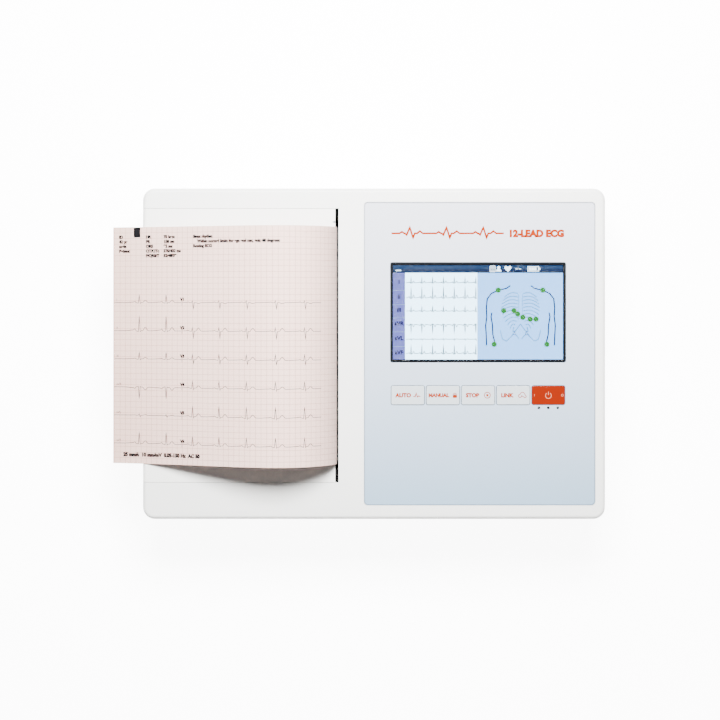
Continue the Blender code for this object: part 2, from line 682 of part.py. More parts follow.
def make_upper_case():
    base = SPLIT_HEIGHT + GAP
    case = open_shell("upper_case", (CASE_LEFT, CASE_FRONT, base),
                      (CASE_RIGHT, CASE_REAR, DECK), False, DECK_EDGE)
    x0, x1 = PANEL_X
    y0, y1 = PANEL_Y
    join(case, box_mesh((x0 - WALL, y0 - WALL, PANEL_BOTTOM - GAP - LEDGE_THICKNESS),
                        (x1 + WALL, y1 + WALL, DECK - WALL / 2)))
    for x, y in case_corners():
        join(case, rod_mesh((x, y, base + GAP), (x, y, DECK - WALL / 2), BOSS_RADIUS, 16))
    hanger_bottom = RAIL_MIDDLE + RAIL_HEIGHT / 2 + GAP
    for side in (-1, 1):
        inner = DOOR_Y + side * (DOOR_WIDTH / 2 + HANGER_CLEARANCE)
        outer = DOOR_Y + side * (DOOR_WIDTH / 2 + RAIL_WIDTH)
        join(case, box_mesh((CASE_LEFT + 0.010, min(inner, outer), hanger_bottom),
                            (DOOR_END - 0.006, max(inner, outer), DECK - WALL / 2)))
    half = DOOR_WIDTH / 2 + GAP
    join(case, box_mesh((DECK_START, DOOR_Y - PAPER_WIDTH / 2 - 0.001, DECK - 0.006),
                        (DECK_START + 0.002, DOOR_Y + PAPER_WIDTH / 2 + 0.001, DECK - WALL / 2)))
    cut(case, box_mesh((CASE_LEFT - WALL, DOOR_Y - half, FASCIA_BOTTOM - GAP),
                       (CASE_LEFT + 2 * WALL, DOOR_Y + half, DECK + WALL)))
    cut(case, box_mesh((CASE_LEFT + WALL, DOOR_Y - half, DECK - 2 * WALL),
                       (DECK_START, DOOR_Y + half, DECK + WALL)))
    cut(case, box_mesh((x0 - GAP, y0 - GAP, PANEL_BOTTOM - GAP), (x1 + GAP, y1 + GAP, DECK + WALL),
                       PANEL_CORNER))
    lip = LEDGE_WIDTH
    cut(case, box_mesh((x0 + lip, y0 + lip, PANEL_BOTTOM - 3 * WALL),
                       (x1 - lip, y1 - lip, DECK), PANEL_CORNER))
    for x, y in case_corners():
        cut(case, rod_mesh((x, y, base - WALL), (x, y, CASE_BASE + CASE_SCREW_LENGTH + SCREW_HOLE_BEYOND),
                           SCREW_RADIUS + GAP, 12))
    return case


def make_screw(name, x, y, head_base, length):
    head = head_base + SCREW_HEAD_HEIGHT
    profile = [(0, length), (SCREW_RADIUS, length), (SCREW_RADIUS, head - head_base),
               (SCREW_HEAD_RADIUS, head - head_base), (SCREW_HEAD_RADIUS, 0), (0, 0)]
    return turned(name, profile, (x, y, head_base), "steel", sides=16)


def make_feet_and_screws():
    for number, (x, y) in enumerate(foot_places(), 1):
        profile = [(0, FOOT_HEIGHT), (FOOT_RADIUS, FOOT_HEIGHT), (FOOT_RADIUS, FOOT_CHAMFER),
                   (FOOT_RADIUS - FOOT_CHAMFER, 0), (0, 0)]
        turned(f"foot_{number}", profile, (x, y, 0), "rubber", sides=24)
    for number, (x, y) in enumerate(case_corners(), 1):
        make_screw(f"case_screw_{number}", x, y, CASE_BASE + GAP, CASE_SCREW_LENGTH)


# ---- battery ----
def make_battery():
    (x0, x1), (y0, y1) = BATTERY_OPENING
    cover = add("battery_cover", box_mesh((x0 + GAP, y0 + GAP, BATTERY_COVER_BASE),
                                          (x1 - GAP, y1 - GAP, BATTERY_COVER_TOP)), "white_plastic")
    x, y = BATTERY_SCREW
    head_top = BATTERY_COVER_BASE + COVER_SCREW_HEAD
    cut(cover, rod_mesh((x, y, 0), (x, y, DECK / 2), SCREW_RADIUS + GAP, 12))
    cut(cover, rod_mesh((x, y, 0), (x, y, head_top + GAP), SCREW_HEAD_RADIUS + GAP, 16))
    profile = [(0, COVER_SCREW_LENGTH), (SCREW_RADIUS, COVER_SCREW_LENGTH),
               (SCREW_RADIUS, head_top - BATTERY_COVER_BASE),
               (SCREW_HEAD_RADIUS, head_top - BATTERY_COVER_BASE), (SCREW_HEAD_RADIUS, 0), (0, 0)]
    turned("battery_cover_screw", profile, (x, y, BATTERY_COVER_BASE), "steel", sides=16)
    (x0, x1), (y0, y1) = BATTERY_BAY
    pack = add("battery_pack", box_mesh((x0 + GAP, y0 + GAP, BATTERY_COVER_TOP + GAP),
                                        (x1 - GAP, y1 - GAP, BATTERY_TOP)), "battery_wrap")
    round_edges(pack, 0.003, segments=3)


# ---- control panel ----
def key_span(number):
    left = WINDOW_X[0] + number * (KEY_WIDTH + KEY_SPACING)
    return left, left + KEY_WIDTH


def light_places():
    middle = sum(key_span(4)) / 2
    return [(middle + step * LIGHT_SPACING, KEY_Y[0] - LIGHT_DROP) for step in (-1, 0, 1)]


def stake_places():
    y = sum(KEY_Y) / 2
    return [(WINDOW_X[0] - KEYPAD_MARGIN, y), (WINDOW_X[1] + KEYPAD_MARGIN, y)]


def make_panel():
    panel = add("control_panel", box_mesh((PANEL_X[0], PANEL_Y[0], PANEL_BOTTOM),
                                          (PANEL_X[1], PANEL_Y[1], PANEL_TOP), PANEL_CORNER),
                "panel_plastic")
    for x, y in stake_places():
        join(panel, rod_mesh((x, y, KEYPAD_TOP + GAP), (x, y, PANEL_TOP - BEYOND), 2 * STAKE_RADIUS, 12))
        join(panel, rod_mesh((x, y, KEYPAD_TOP - BOARD_THICKNESS - BEYOND),
                             (x, y, PANEL_TOP - BEYOND), STAKE_RADIUS, 12))
    cut(panel, box_mesh((WINDOW_X[0] - GAP, WINDOW_Y[0] - GAP, PANEL_BOTTOM - WALL),
                        (WINDOW_X[1] + GAP, WINDOW_Y[1] + GAP, DECK), WINDOW_CORNER, 2))
    for number in range(5):
        x0, x1 = key_span(number)
        cut(panel, box_mesh((x0 - GAP, KEY_Y[0] - GAP, PANEL_BOTTOM - WALL),
                            (x1 + GAP, KEY_Y[1] + GAP, DECK), KEY_CORNER, 3))
    for x, y in light_places():
        cut(panel, rod_mesh((x, y, PANEL_BOTTOM - WALL), (x, y, DECK), LIGHT_RADIUS + GAP, 12))


def make_keys():
    """Caps through the panel, each with a flange under it that rests above its switch."""
    names = ("key_auto", "key_manual", "key_stop", "key_link", "key_power")
    flange_top = PANEL_BOTTOM - GAP
    for number, name in enumerate(names):
        x0, x1 = key_span(number)
        finish = "orange_plastic" if name == "key_power" else "panel_plastic"
        low = (x0, KEY_Y[0], flange_top - KEY_FLANGE_THICKNESS / 2)
        high = (x1, KEY_Y[1], PANEL_TOP + KEY_PROUD)
        centre = ((x0 + x1) / 2, sum(KEY_Y) / 2, flange_top)
        key = add(name, box_mesh(low, high, KEY_CORNER - GAP, 3), finish, origin=centre)
        flange = min(KEY_FLANGE, KEY_SPACING / 2 - GAP)
        join(key, box_mesh((x0 - flange, KEY_Y[0] - flange, flange_top - KEY_FLANGE_THICKNESS),
                           (x1 + flange, KEY_Y[1] + flange, flange_top)))


def make_lights():
    names = ("indicator_mains", "indicator_battery", "indicator_charge")
    for name, (x, y) in zip(names, light_places()):
        top = PANEL_TOP + LIGHT_PROUD - KEYPAD_TOP - GAP
        collar = PANEL_BOTTOM - GAP - KEYPAD_TOP - GAP
        wide = LIGHT_RADIUS + LIGHT_COLLAR
        profile = [(0, top), (LIGHT_RADIUS, top), (LIGHT_RADIUS, collar), (wide, collar),
                   (wide, collar - 0.001), (LIGHT_RADIUS, collar - 0.001), (LIGHT_RADIUS, 0), (0, 0)]
        turned(name, profile, (x, y, KEYPAD_TOP + GAP), "light_pipe", sides=12)


def make_keypad_board():
    y0, y1 = KEY_Y[0] - KEYPAD_FRONT_MARGIN, KEY_Y[1] + KEYPAD_REAR_MARGIN
    x0, x1 = WINDOW_X[0] - 2 * KEYPAD_MARGIN, WINDOW_X[1] + 2 * KEYPAD_MARGIN
    board = add("keypad_board", box_mesh((x0, y0, KEYPAD_TOP - BOARD_THICKNESS),
                                         (x1, y1, KEYPAD_TOP)), "circuit_board")
    half = SWITCH_SIZE / 2
    y = sum(KEY_Y) / 2
    for number in range(5):
        x = sum(key_span(number)) / 2
        join(board, box_mesh((x - half, y - half, KEYPAD_TOP - BOARD_THICKNESS / 2),
                             (x + half, y + half, KEYPAD_TOP + SWITCH_BODY_HEIGHT)))
        join(board, rod_mesh((x, y, KEYPAD_TOP), (x, y, SWITCH_TOP), SWITCH_PLUNGER_RADIUS, 12))
    for x, y in stake_places():
        cut(board, rod_mesh((x, y, KEYPAD_TOP - WALL), (x, y, KEYPAD_TOP + WALL),
                            STAKE_RADIUS + GAP, 12))


def make_display():
    glass_top = PANEL_TOP - GLASS_SUNK
    glass_base = glass_top - GLASS_THICKNESS
    add("display_glass", box_mesh((WINDOW_X[0], WINDOW_Y[0], glass_base),
                                  (WINDOW_X[1], WINDOW_Y[1], glass_top), WINDOW_CORNER, 2),
        "clear_glass")
    lcd_top = PANEL_BOTTOM - GAP
    lcd_base = lcd_top - LCD_THICKNESS
    low = (WINDOW_X[0] - LCD_BORDER, WINDOW_Y[0] - LCD_BORDER, lcd_base)
    high = (WINDOW_X[1] + LCD_BORDER, WINDOW_Y[1] + LCD_BORDER, lcd_top)
    module = add("lcd_module", box_mesh(low, high), "grey_plastic")
    cut(module, box_mesh((WINDOW_X[0] + LCD_BEZEL, WINDOW_Y[0] + LCD_BEZEL, lcd_top - LCD_SUNK),
                         (WINDOW_X[1] - LCD_BEZEL, WINDOW_Y[1] - LCD_BEZEL, DECK)))
    make_lcd_bracket(lcd_base)


def make_lcd_bracket(lcd_base):
    """A sheet tray under the display whose raised ends sit below the panel's ledge."""
    top = lcd_base - GAP
    base = top - LCD_BRACKET_THICKNESS
    x0, x1 = PANEL_X[0] + GAP, PANEL_X[1] - GAP
    y0, y1 = WINDOW_Y[0] - LCD_BRACKET_MARGIN, WINDOW_Y[1] + LCD_BRACKET_MARGIN
    ledge_base = PANEL_BOTTOM - GAP - LEDGE_THICKNESS
    bracket = add("lcd_bracket", box_mesh((x0, y0, base), (x1, y1, top)), "aluminium")
    for side0, side1 in ((x0, x0 + LEDGE_WIDTH - GAP), (x1 - LEDGE_WIDTH + GAP, x1)):
        join(bracket, box_mesh((side0, y0 + BEYOND, base + LCD_BRACKET_THICKNESS / 2),
                               (side1, y1 - BEYOND, ledge_base - GAP)))
    rim = LCD_BRACKET_RIM
    cut(bracket, box_mesh((WINDOW_X[0] + rim, WINDOW_Y[0] + rim, base - WALL),
                          (WINDOW_X[1] - rim, WINDOW_Y[1] - rim, top + WALL)))


# ---- writer door ----
def make_door():
    half = DOOR_WIDTH / 2
    x0, x1 = CASE_LEFT, DOOR_END
    door = add("writer_door", box_mesh((x0, DOOR_Y - half, DECK - DOOR_PLATE),
                                       (x1, DOOR_Y + half, DECK)), "white_plastic",
               origin=(x0, DOOR_Y, DECK))
    join(door, box_mesh((x0, DOOR_Y - half, FASCIA_BOTTOM),
                        (x0 + DOOR_PLATE, DOOR_Y + half, DECK - DOOR_PLATE / 2)))
    plate = DECK - DOOR_PLATE / 2
    for side in (-1, 1):
        outer = DOOR_Y + side * half
        inner = outer - side * DOOR_SKIRT
        join(door, span_box((x0 + DOOR_PLATE / 2, x1), (inner, outer), (DECK - DOOR_SKIRT_DEPTH, plate)))
        tip = DOOR_Y + side * (half + TONGUE_WIDTH - GAP)
        join(door, span_box((x1 - TONGUE_INSET - TONGUE_LENGTH, x1 - TONGUE_INSET), (inner, tip),
                            (TONGUE_BASE, TONGUE_BASE + TONGUE_HEIGHT)))
        ear_in, ear_out = DOOR_Y + side * EAR_Y, DOOR_Y + side * (EAR_Y + EAR_THICKNESS)
        join(door, span_box((x1 - EAR_LENGTH, x1), (ear_in, ear_out), (DECK - EAR_DEPTH, plate)))
        bore = PLATEN_SHAFT_RADIUS + RUNNING_FIT + BUSH_WALL + GAP
        cut(door, rod_mesh((ROLLER_X, ear_in - side * BEYOND, ROLLER_Z),
                           (ROLLER_X, ear_out + side * BEYOND, ROLLER_Z), bore, 24))
    add_latch_ears(door)
    add_door_edge(door)
    return door


def span_box(xs, ys, zs):
    """A box given by its spans, in any order."""
    low = (min(xs), min(ys), min(zs))
    high = (max(xs), max(ys), max(zs))
    return box_mesh(low, high)


def add_latch_ears(door):
    """The opening for the paddle, the two ears that hold its pin, and the spring's stop."""
    x, z = LATCH_AXIS
    reach = PADDLE_WIDTH / 2 + 2 * GAP
    cut(door, span_box((CASE_LEFT - WALL, CASE_LEFT + WALL + 0.001),
                       (DOOR_Y - PADDLE_WIDTH / 2 - GAP, DOOR_Y + PADDLE_WIDTH / 2 + GAP),
                       (z - PADDLE_SWING - GAP, PADDLE_TOP + GAP)))
    eye = LATCH_PIN_RADIUS + GAP
    for side in (-1, 1):
        ear = (DOOR_Y + side * reach, DOOR_Y + side * (reach + LATCH_EAR_THICKNESS))
        join(door, span_box((CASE_LEFT + WALL / 2, x + eye + 0.002), ear,
                            (z - eye - 0.0025, DECK - WALL / 2)))
    cut(door, rod_mesh((x, DOOR_Y - reach - 2 * WALL, z), (x, DOOR_Y + reach + 2 * WALL, z), eye, 16))
    stop = LATCH_SPRING_STOP
    join(door, span_box((stop, stop + LATCH_STOP_THICKNESS),
                        (DOOR_Y - LATCH_STOP_HALF, DOOR_Y + LATCH_STOP_HALF),
                        (LATCH_SPRING_Z - LATCH_SPRING_RADIUS - 0.001, DECK - WALL / 2)))


def add_door_edge(door):
    """The rounded left edge of the door, in line with the deck's own edge."""
    half = DOOR_WIDTH / 2 + WALL
    centre = (CASE_LEFT + DECK_EDGE, DECK - DECK_EDGE)
    outline = arc(centre, DECK_EDGE, 90, 180, 6)
    outline += [(CASE_LEFT - WALL, centre[1]), (CASE_LEFT - WALL, DECK + WALL), (centre[0], DECK + WALL)]
    cut(door, prism_mesh(outline, DOOR_Y - half, DOOR_Y + half))


def make_latch():
    """A paddle that hangs on a pin: pressing its foot in lifts the hook off the tray's wall."""
    x, z = LATCH_AXIS
    half = PADDLE_WIDTH / 2
    back = PADDLE_FACE + PADDLE_THICKNESS
    paddle = add("latch_paddle", span_box((PADDLE_FACE, back), (DOOR_Y - half, DOOR_Y + half),
                                          (PADDLE_BOTTOM, PADDLE_TOP)), "white_plastic",
                 origin=(x, DOOR_Y, z))
    hook = (x + LATCH_HOOK_X[0], x + LATCH_HOOK_X[1])
    for side in (-1, 1):
        arm = (DOOR_Y + side * LATCH_ARM_Y[0], DOOR_Y + side * LATCH_ARM_Y[1])
        join(paddle, span_box((back - PADDLE_THICKNESS / 2, hook[1]), arm,
                              (z - LATCH_ARM_HALF, z + LATCH_ARM_HALF)))
        join(paddle, span_box(hook, arm, (TRAY_TOP + SLIDING_FIT, z)))
    cut(paddle, rod_mesh((x, DOOR_Y - half, z), (x, DOOR_Y + half, z),
                         LATCH_PIN_RADIUS + RUNNING_FIT, 16))
    reach = PADDLE_WIDTH / 2 + 2 * GAP + LATCH_EAR_THICKNESS
    pin = rod_mesh((x, DOOR_Y - reach, z), (x, DOOR_Y + reach, z), LATCH_PIN_RADIUS, 16)
    add("latch_pin", pin, "steel")
    coil("latch_spring", (LATCH_SPRING_START, DOOR_Y, LATCH_SPRING_Z),
         (LATCH_SPRING_STOP - GAP, DOOR_Y, LATCH_SPRING_Z),
         LATCH_SPRING_RADIUS, LATCH_SPRING_WIRE, LATCH_SPRING_TURNS, "steel")


def make_rails():
    """C rails hung under the deck; the door's tongues run in their grooves."""
    middle = RAIL_MIDDLE
    for name, side in (("door_rail_front", -1), ("door_rail_rear", 1)):
        inner = DOOR_Y + side * (DOOR_WIDTH / 2 + GAP)
        outer = DOOR_Y + side * (DOOR_WIDTH / 2 + GAP + RAIL_WIDTH)
        groove = DOOR_Y + side * (DOOR_WIDTH / 2 + TONGUE_WIDTH + SLIDING_FIT)
        rail = add(name, span_box((CASE_LEFT + 0.004, DOOR_END - 0.001), (inner, outer),
                                  (middle - RAIL_HEIGHT / 2, middle + RAIL_HEIGHT / 2)), "acetal")
        half = TONGUE_HEIGHT / 2 + SLIDING_FIT
        cut(rail, span_box((CASE_LEFT - WALL, DOOR_END + WALL), (inner - side * WALL, groove),
                           (middle - half, middle + half)))


# ---- platen ----
def make_platen():
    """The paper roller and its gear, which ride in the door's ears."""
    half = PAPER_WIDTH / 2 + HEAD_SIDE_MARGIN
    origin = (ROLLER_X, DOOR_Y, ROLLER_Z)
    front = DOOR_Y - GEAR_Y - GEAR_WIDTH - GAP
    rear = DOOR_Y + EAR_Y + EAR_THICKNESS + SHAFT_TAIL
    shaft = rod_mesh((ROLLER_X, front, ROLLER_Z), (ROLLER_X, rear, ROLLER_Z), PLATEN_SHAFT_RADIUS, 32)
    smooth(add("platen_shaft", shaft, "steel", origin=origin))
    bore = PLATEN_SHAFT_RADIUS + GAP
    sleeve = [(ROLLER_RADIUS, half), (ROLLER_RADIUS, -half), (bore, -half), (bore, half)]
    turned("platen_sleeve", sleeve, origin, "rubber", axis="Y", sides=32)
    bored_gear("platen_gear", PLATEN_TEETH, IDLER_DIRECTION, PLATEN_SHAFT_RADIUS + GAP, ROLLER_CENTRE)
    for name, side in (("platen_bush_front", -1), ("platen_bush_rear", 1)):
        make_bush(name, side)


def make_bush(name, side):
    bore = PLATEN_SHAFT_RADIUS + RUNNING_FIT
    body = bore + BUSH_WALL
    flange = body + BUSH_LIP
    inner = EAR_Y
    ear_face = EAR_Y + EAR_THICKNESS + GAP
    end = ear_face + BUSH_FLANGE
    profile = [(flange, end), (flange, ear_face), (body, ear_face), (body, inner), (bore, inner),
               (bore, end)]
    bush = turned(name, profile, (ROLLER_X, DOOR_Y, ROLLER_Z), "brass", axis="Y", sides=32)
    if side < 0:
        bush.rotation_euler = (math.pi / 2, 0, 0)


# ---- printer ----
def make_chassis():
    base = CHASSIS_BASE
    top = ROLLER_Z + CHEEK_TOP_ABOVE_ROLLER
    right = PINION_CENTRE[0] + 0.012
    wall = SPRING_WALL_X
    front = DOOR_Y - OUTER_CHEEK_Y - CHEEK
    rear = DOOR_Y + INNER_CHEEK_Y + CHEEK
    step = CHEEK / 4
    frame = add("printer_chassis", span_box((wall - step, right - step), (front + step, rear - step),
                                            (base + step, base + CHEEK)), "steel")
    cheek_middle = INNER_CHEEK_Y + CHEEK / 2
    join(frame, span_box((wall, wall + CHEEK), (DOOR_Y - cheek_middle, DOOR_Y + cheek_middle),
                         (base + CHEEK / 2, top - step)))
    for side in (-1, 1):
        cheek = (DOOR_Y + side * INNER_CHEEK_Y, DOOR_Y + side * (INNER_CHEEK_Y + CHEEK))
        join(frame, span_box((CHASSIS_LEFT, right), cheek, (base, top)))
    pinion_x, pinion_z = PINION_CENTRE
    idler_x, idler_z = IDLER_CENTRE
    outer = (front, front + CHEEK)
    join(frame, span_box((CHASSIS_LEFT, right), outer, (base, top)))
    pin_end = DOOR_Y - INNER_CHEEK_Y - CHEEK / 2
    join(frame, rod_mesh((idler_x, front + CHEEK / 2, idler_z), (idler_x, pin_end, idler_z),
                         IDLER_PIN_RADIUS, 24))
    cut(frame, rod_mesh((pinion_x, front - BEYOND, pinion_z), (pinion_x, front + CHEEK + BEYOND, pinion_z),
                        MOTOR_SHAFT_RADIUS + MOTOR_HOLE_CLEARANCE, 16))
    cut(frame, rod_mesh((PIVOT_X, DOOR_Y - INNER_CHEEK_Y - CHEEK - BEYOND, PIVOT_Z),
                        (PIVOT_X, rear + BEYOND, PIVOT_Z), HEAD_PIVOT_RADIUS + GAP, 16))


def make_motor_train():
    idler_x, idler_z = IDLER_CENTRE
    pinion_x, pinion_z = PINION_CENTRE
    bored_gear("idler_gear", IDLER_TEETH, IDLER_FIRST_TOOTH, IDLER_PIN_RADIUS + RUNNING_FIT, IDLER_CENTRE)
    bored_gear("motor_pinion", PINION_TEETH, PINION_FIRST_TOOTH, MOTOR_SHAFT_RADIUS + GAP, PINION_CENTRE)
    motor_end = MOTOR_Y - MOTOR_THICKNESS
    can = rod_mesh((pinion_x, MOTOR_Y, pinion_z), (pinion_x, motor_end, pinion_z), MOTOR_RADIUS, 32)
    motor = add("stepper_motor", can, "steel")
    cut(motor, rod_mesh((pinion_x, MOTOR_Y + 0.001, pinion_z),
                        (pinion_x, MOTOR_Y - 0.012, pinion_z), MOTOR_SHAFT_RADIUS + RUNNING_FIT, 24))
    shaft = rod_mesh((pinion_x, MOTOR_Y - 0.0115, pinion_z),
                     (pinion_x, GEAR_MID_Y + GEAR_WIDTH / 2, pinion_z), MOTOR_SHAFT_RADIUS, 24)
    add("motor_shaft", shaft, "steel", origin=(pinion_x, GEAR_MID_Y, pinion_z))


def make_head():
    """The thermal bar on its bracket, which tips back from the roller on a rod."""
    half = PAPER_WIDTH / 2 - HEAD_SIDE_MARGIN
    head_low = ROLLER_Z - HEAD_BELOW_ROLLER
    head = (head_low, head_low + HEAD_HEIGHT)
    pivot = (PIVOT_X, DOOR_Y, PIVOT_Z)
    add("print_head", span_box((HEAD_FACE, HEAD_FACE + HEAD_THICKNESS),
                               (DOOR_Y - half, DOOR_Y + half), head), "ceramic", origin=pivot)
    bracket_half = PAPER_WIDTH / 2 + HEAD_SIDE_MARGIN
    bracket = add("head_bracket", span_box((BRACKET_LEFT, BRACKET_LEFT + BRACKET_THICKNESS),
                                           (DOOR_Y - bracket_half, DOOR_Y + bracket_half),
                                           (PIVOT_Z, head[1])), "aluminium", origin=pivot)
    join(bracket, rod_mesh((PIVOT_X, DOOR_Y - bracket_half, PIVOT_Z),
                           (PIVOT_X, DOOR_Y + bracket_half, PIVOT_Z),
                           HEAD_PIVOT_RADIUS + PIVOT_BOSS_WALL, 24))
    cut(bracket, rod_mesh((PIVOT_X, DOOR_Y - bracket_half - BEYOND, PIVOT_Z),
                          (PIVOT_X, DOOR_Y + bracket_half + BEYOND, PIVOT_Z),
                          HEAD_PIVOT_RADIUS + RUNNING_FIT, 24))
    reach = INNER_CHEEK_Y + CHEEK
    add("head_pivot", rod_mesh((PIVOT_X, DOOR_Y - reach, PIVOT_Z), (PIVOT_X, DOOR_Y + reach, PIVOT_Z),
                               HEAD_PIVOT_RADIUS, 24), "steel")
    for name, side in (("head_spring_front", -1), ("head_spring_rear", 1)):
        y = DOOR_Y + side * PAPER_WIDTH / 4
        coil(name, (SPRING_LEFT, y, ROLLER_Z), (SPRING_WALL_X - GAP, y, ROLLER_Z),
             HEAD_SPRING_RADIUS, HEAD_SPRING_WIRE, HEAD_SPRING_TURNS, "steel")


def make_tear_bar():
    """A steel strip along the deck's edge, with saw teeth up."""
    half = PAPER_WIDTH / 2 + HEAD_SIDE_MARGIN
    x = DECK_START - GAP - TEAR_BAR_THICKNESS / 2
    low, high = DECK - TEAR_BAR_DEPTH, DECK - TEAR_BAR_SUNK
    teeth = int(2 * half / TEAR_TOOTH)
    pitch = 2 * half / teeth
    outline = [(-half, low - high), (half, low - high)]
    for tooth in range(teeth, 0, -1):
        outline.append((-half + tooth * pitch, -TEAR_TOOTH_DEPTH))
        outline.append((-half + (tooth - 0.5) * pitch, 0.0))
    outline.append((-half, -TEAR_TOOTH_DEPTH))
    bar = flat_outline("tear_bar", [outline], TEAR_BAR_THICKNESS, (x, DOOR_Y, high), "steel", axis="X")
    bar.rotation_euler = (math.pi / 2, 0, math.pi / 2)


# ---- paper ----
def paper_path():
    """From above the stack, round under the roller, up the slot and over in an arch."""
    turn = ROLLER_RADIUS + GAP + PAPER_THICKNESS / 2
    tail = [(ROLLER_X - run, TRAY_TOP + lift) for run, lift in zip(TAIL_RUNS, TAIL_LIFTS)]
    wrap = arc(ROLLER_CENTRE, turn, -100, 0, 8)
    end = (CASE_LEFT - PAPER_OVERHANG, DECK - PAPER_END_DROP)
    peak = (PAPER_X - ARCH_PEAK_RUN, DECK + ARCH_HEIGHT)
    before, after = (peak[0] + ARCH_PEAK_LEADS[0], peak[1]), (peak[0] - ARCH_PEAK_LEADS[1], peak[1])
    landing = (end[0] + ARCH_END_LEAD[0], end[1] + ARCH_END_LEAD[1])
    rise = bezier((PAPER_X, DECK), (PAPER_X, DECK + ARCH_RISE_LEAD), before, peak, 8)
    fall = bezier(peak, after, landing, end, 12)
    return tail + wrap + rise + fall[1:]


def make_paper():
    path = paper_path()
    half = PAPER_WIDTH / 2
    bm = bmesh.new()
    front = [bm.verts.new((x, DOOR_Y - half, z)) for x, z in path]
    rear = [bm.verts.new((x, DOOR_Y + half, z)) for x, z in path]
    for step in range(len(path) - 1):
        bm.faces.new((front[step], rear[step], rear[step + 1], front[step + 1]))
    sheet = add("chart_paper", bm, "paper", origin=(PAPER_X, DOOR_Y, DECK))
    wall = sheet.modifiers.new("thickness", "SOLIDIFY")
    wall.thickness = PAPER_THICKNESS
    wall.offset = 0
    wall.use_even_offset = True


def make_tray():
    """An open tray for the folded paper, on the roof of the battery bay."""
    half = PAPER_WIDTH / 2 + TRAY_SIDE_GAP
    x0, x1 = CASE_LEFT + 0.005, DOOR_END
    tray = add("paper_tray", span_box((x0, x1), (DOOR_Y - half - TRAY_WALL, DOOR_Y + half + TRAY_WALL),
                                      (TRAY_BASE, TRAY_TOP)), "grey_plastic")
    cut(tray, span_box((x0 + TRAY_WALL, x1 - TRAY_WALL), (DOOR_Y - half, DOOR_Y + half),
                       (TRAY_BASE + TRAY_FLOOR, TRAY_TOP + WALL)))
    stack_x = x0 + TRAY_WALL + TRAY_SIDE_GAP
    stack_z = TRAY_BASE + TRAY_FLOOR + GAP
    add("paper_stack", span_box((stack_x, stack_x + STACK_LENGTH),
                                (DOOR_Y - PAPER_WIDTH / 2, DOOR_Y + PAPER_WIDTH / 2),
                                (stack_z, stack_z + STACK_HEIGHT)), "paper")
    sensor_y = DOOR_Y - PAPER_WIDTH / 2 + 0.015
    add("mark_sensor", span_box((x1 - 0.0125, x1 - TRAY_WALL - GAP), (sensor_y - 0.005, sensor_y + 0.005),
                                (TRAY_TOP - 0.012, TRAY_TOP - 0.001)), "dark_plastic")


# ---- electronics ----
def corner_points(xs, ys, inset):
    return [(x, y) for x in (xs[0] + inset, xs[1] - inset) for y in (ys[0] + inset, ys[1] - inset)]


def board_posts():
    return (corner_points(BOARD_X, BOARD_Y, 0.005) + corner_points(ECG_X, ECG_Y, 0.005)
            + corner_points(SUPPLY_X, SUPPLY_Y, 0.005))


def chassis_posts():
    left, right = SPRING_WALL_X + 0.004, PINION_CENTRE[0] + 0.008
    return [(x, DOOR_Y + side * (INNER_CHEEK_Y - 0.008)) for x in (left, right) for side in (-1, 1)]


def make_board(name, xs, ys, blocks):
    """A circuit board with its taller components as blocks: (x, y, wide, deep, tall)."""
    board = add(name, span_box(xs, ys, (MAIN_BOARD_BASE, MAIN_BOARD_TOP)), "circuit_board")
    for x, y, wide, deep, tall in blocks:
        join(board, span_box((xs[0] + x, xs[0] + x + wide), (ys[0] + y, ys[0] + y + deep),
                             (MAIN_BOARD_BASE + BOARD_THICKNESS / 2, MAIN_BOARD_TOP + tall)))


def make_electronics():
    make_board("main_board", BOARD_X, BOARD_Y, (
        (0.030, 0.120, 0.023, 0.023, 0.0022), (0.060, 0.125, 0.014, 0.018, 0.0014),
        (0.015, 0.060, 0.035, 0.006, 0.007), (0.062, 0.060, 0.010, 0.010, 0.009),
        (0.010, 0.015, 0.050, 0.008, 0.0085)))
    make_board("ecg_module", ECG_X, ECG_Y, ((0.004, 0.010, 0.024, 0.070, 0.009),))
    make_board("power_supply", SUPPLY_X, SUPPLY_Y, (
        (0.004, 0.006, 0.022, 0.026, 0.020), (0.030, 0.006, 0.016, 0.016, 0.022),
        (0.010, 0.040, 0.030, 0.005, 0.016)))
    make_sockets()
    make_patient_connector()


def tube_box(name, x, z, size, back, front, finish, tongue):
    """A metal jack shell open to the rear, with a tongue inside."""
    wide, tall = size[0], size[1]
    shell = add(name, span_box((x - wide / 2, x + wide / 2), (back, front),
                               (z - tall / 2, z + tall / 2)), finish)
    cut(shell, span_box((x - wide / 2 + JACK_WALL, x + wide / 2 - JACK_WALL),
                        (back + 2 * JACK_WALL, front + WALL),
                        (z - tall / 2 + JACK_WALL, z + tall / 2 - JACK_WALL)))
    join(shell, span_box((x - tongue[0] / 2, x + tongue[0] / 2), (back + JACK_WALL, front - 0.0015),
                         (z + tongue[1], z + tongue[2])))


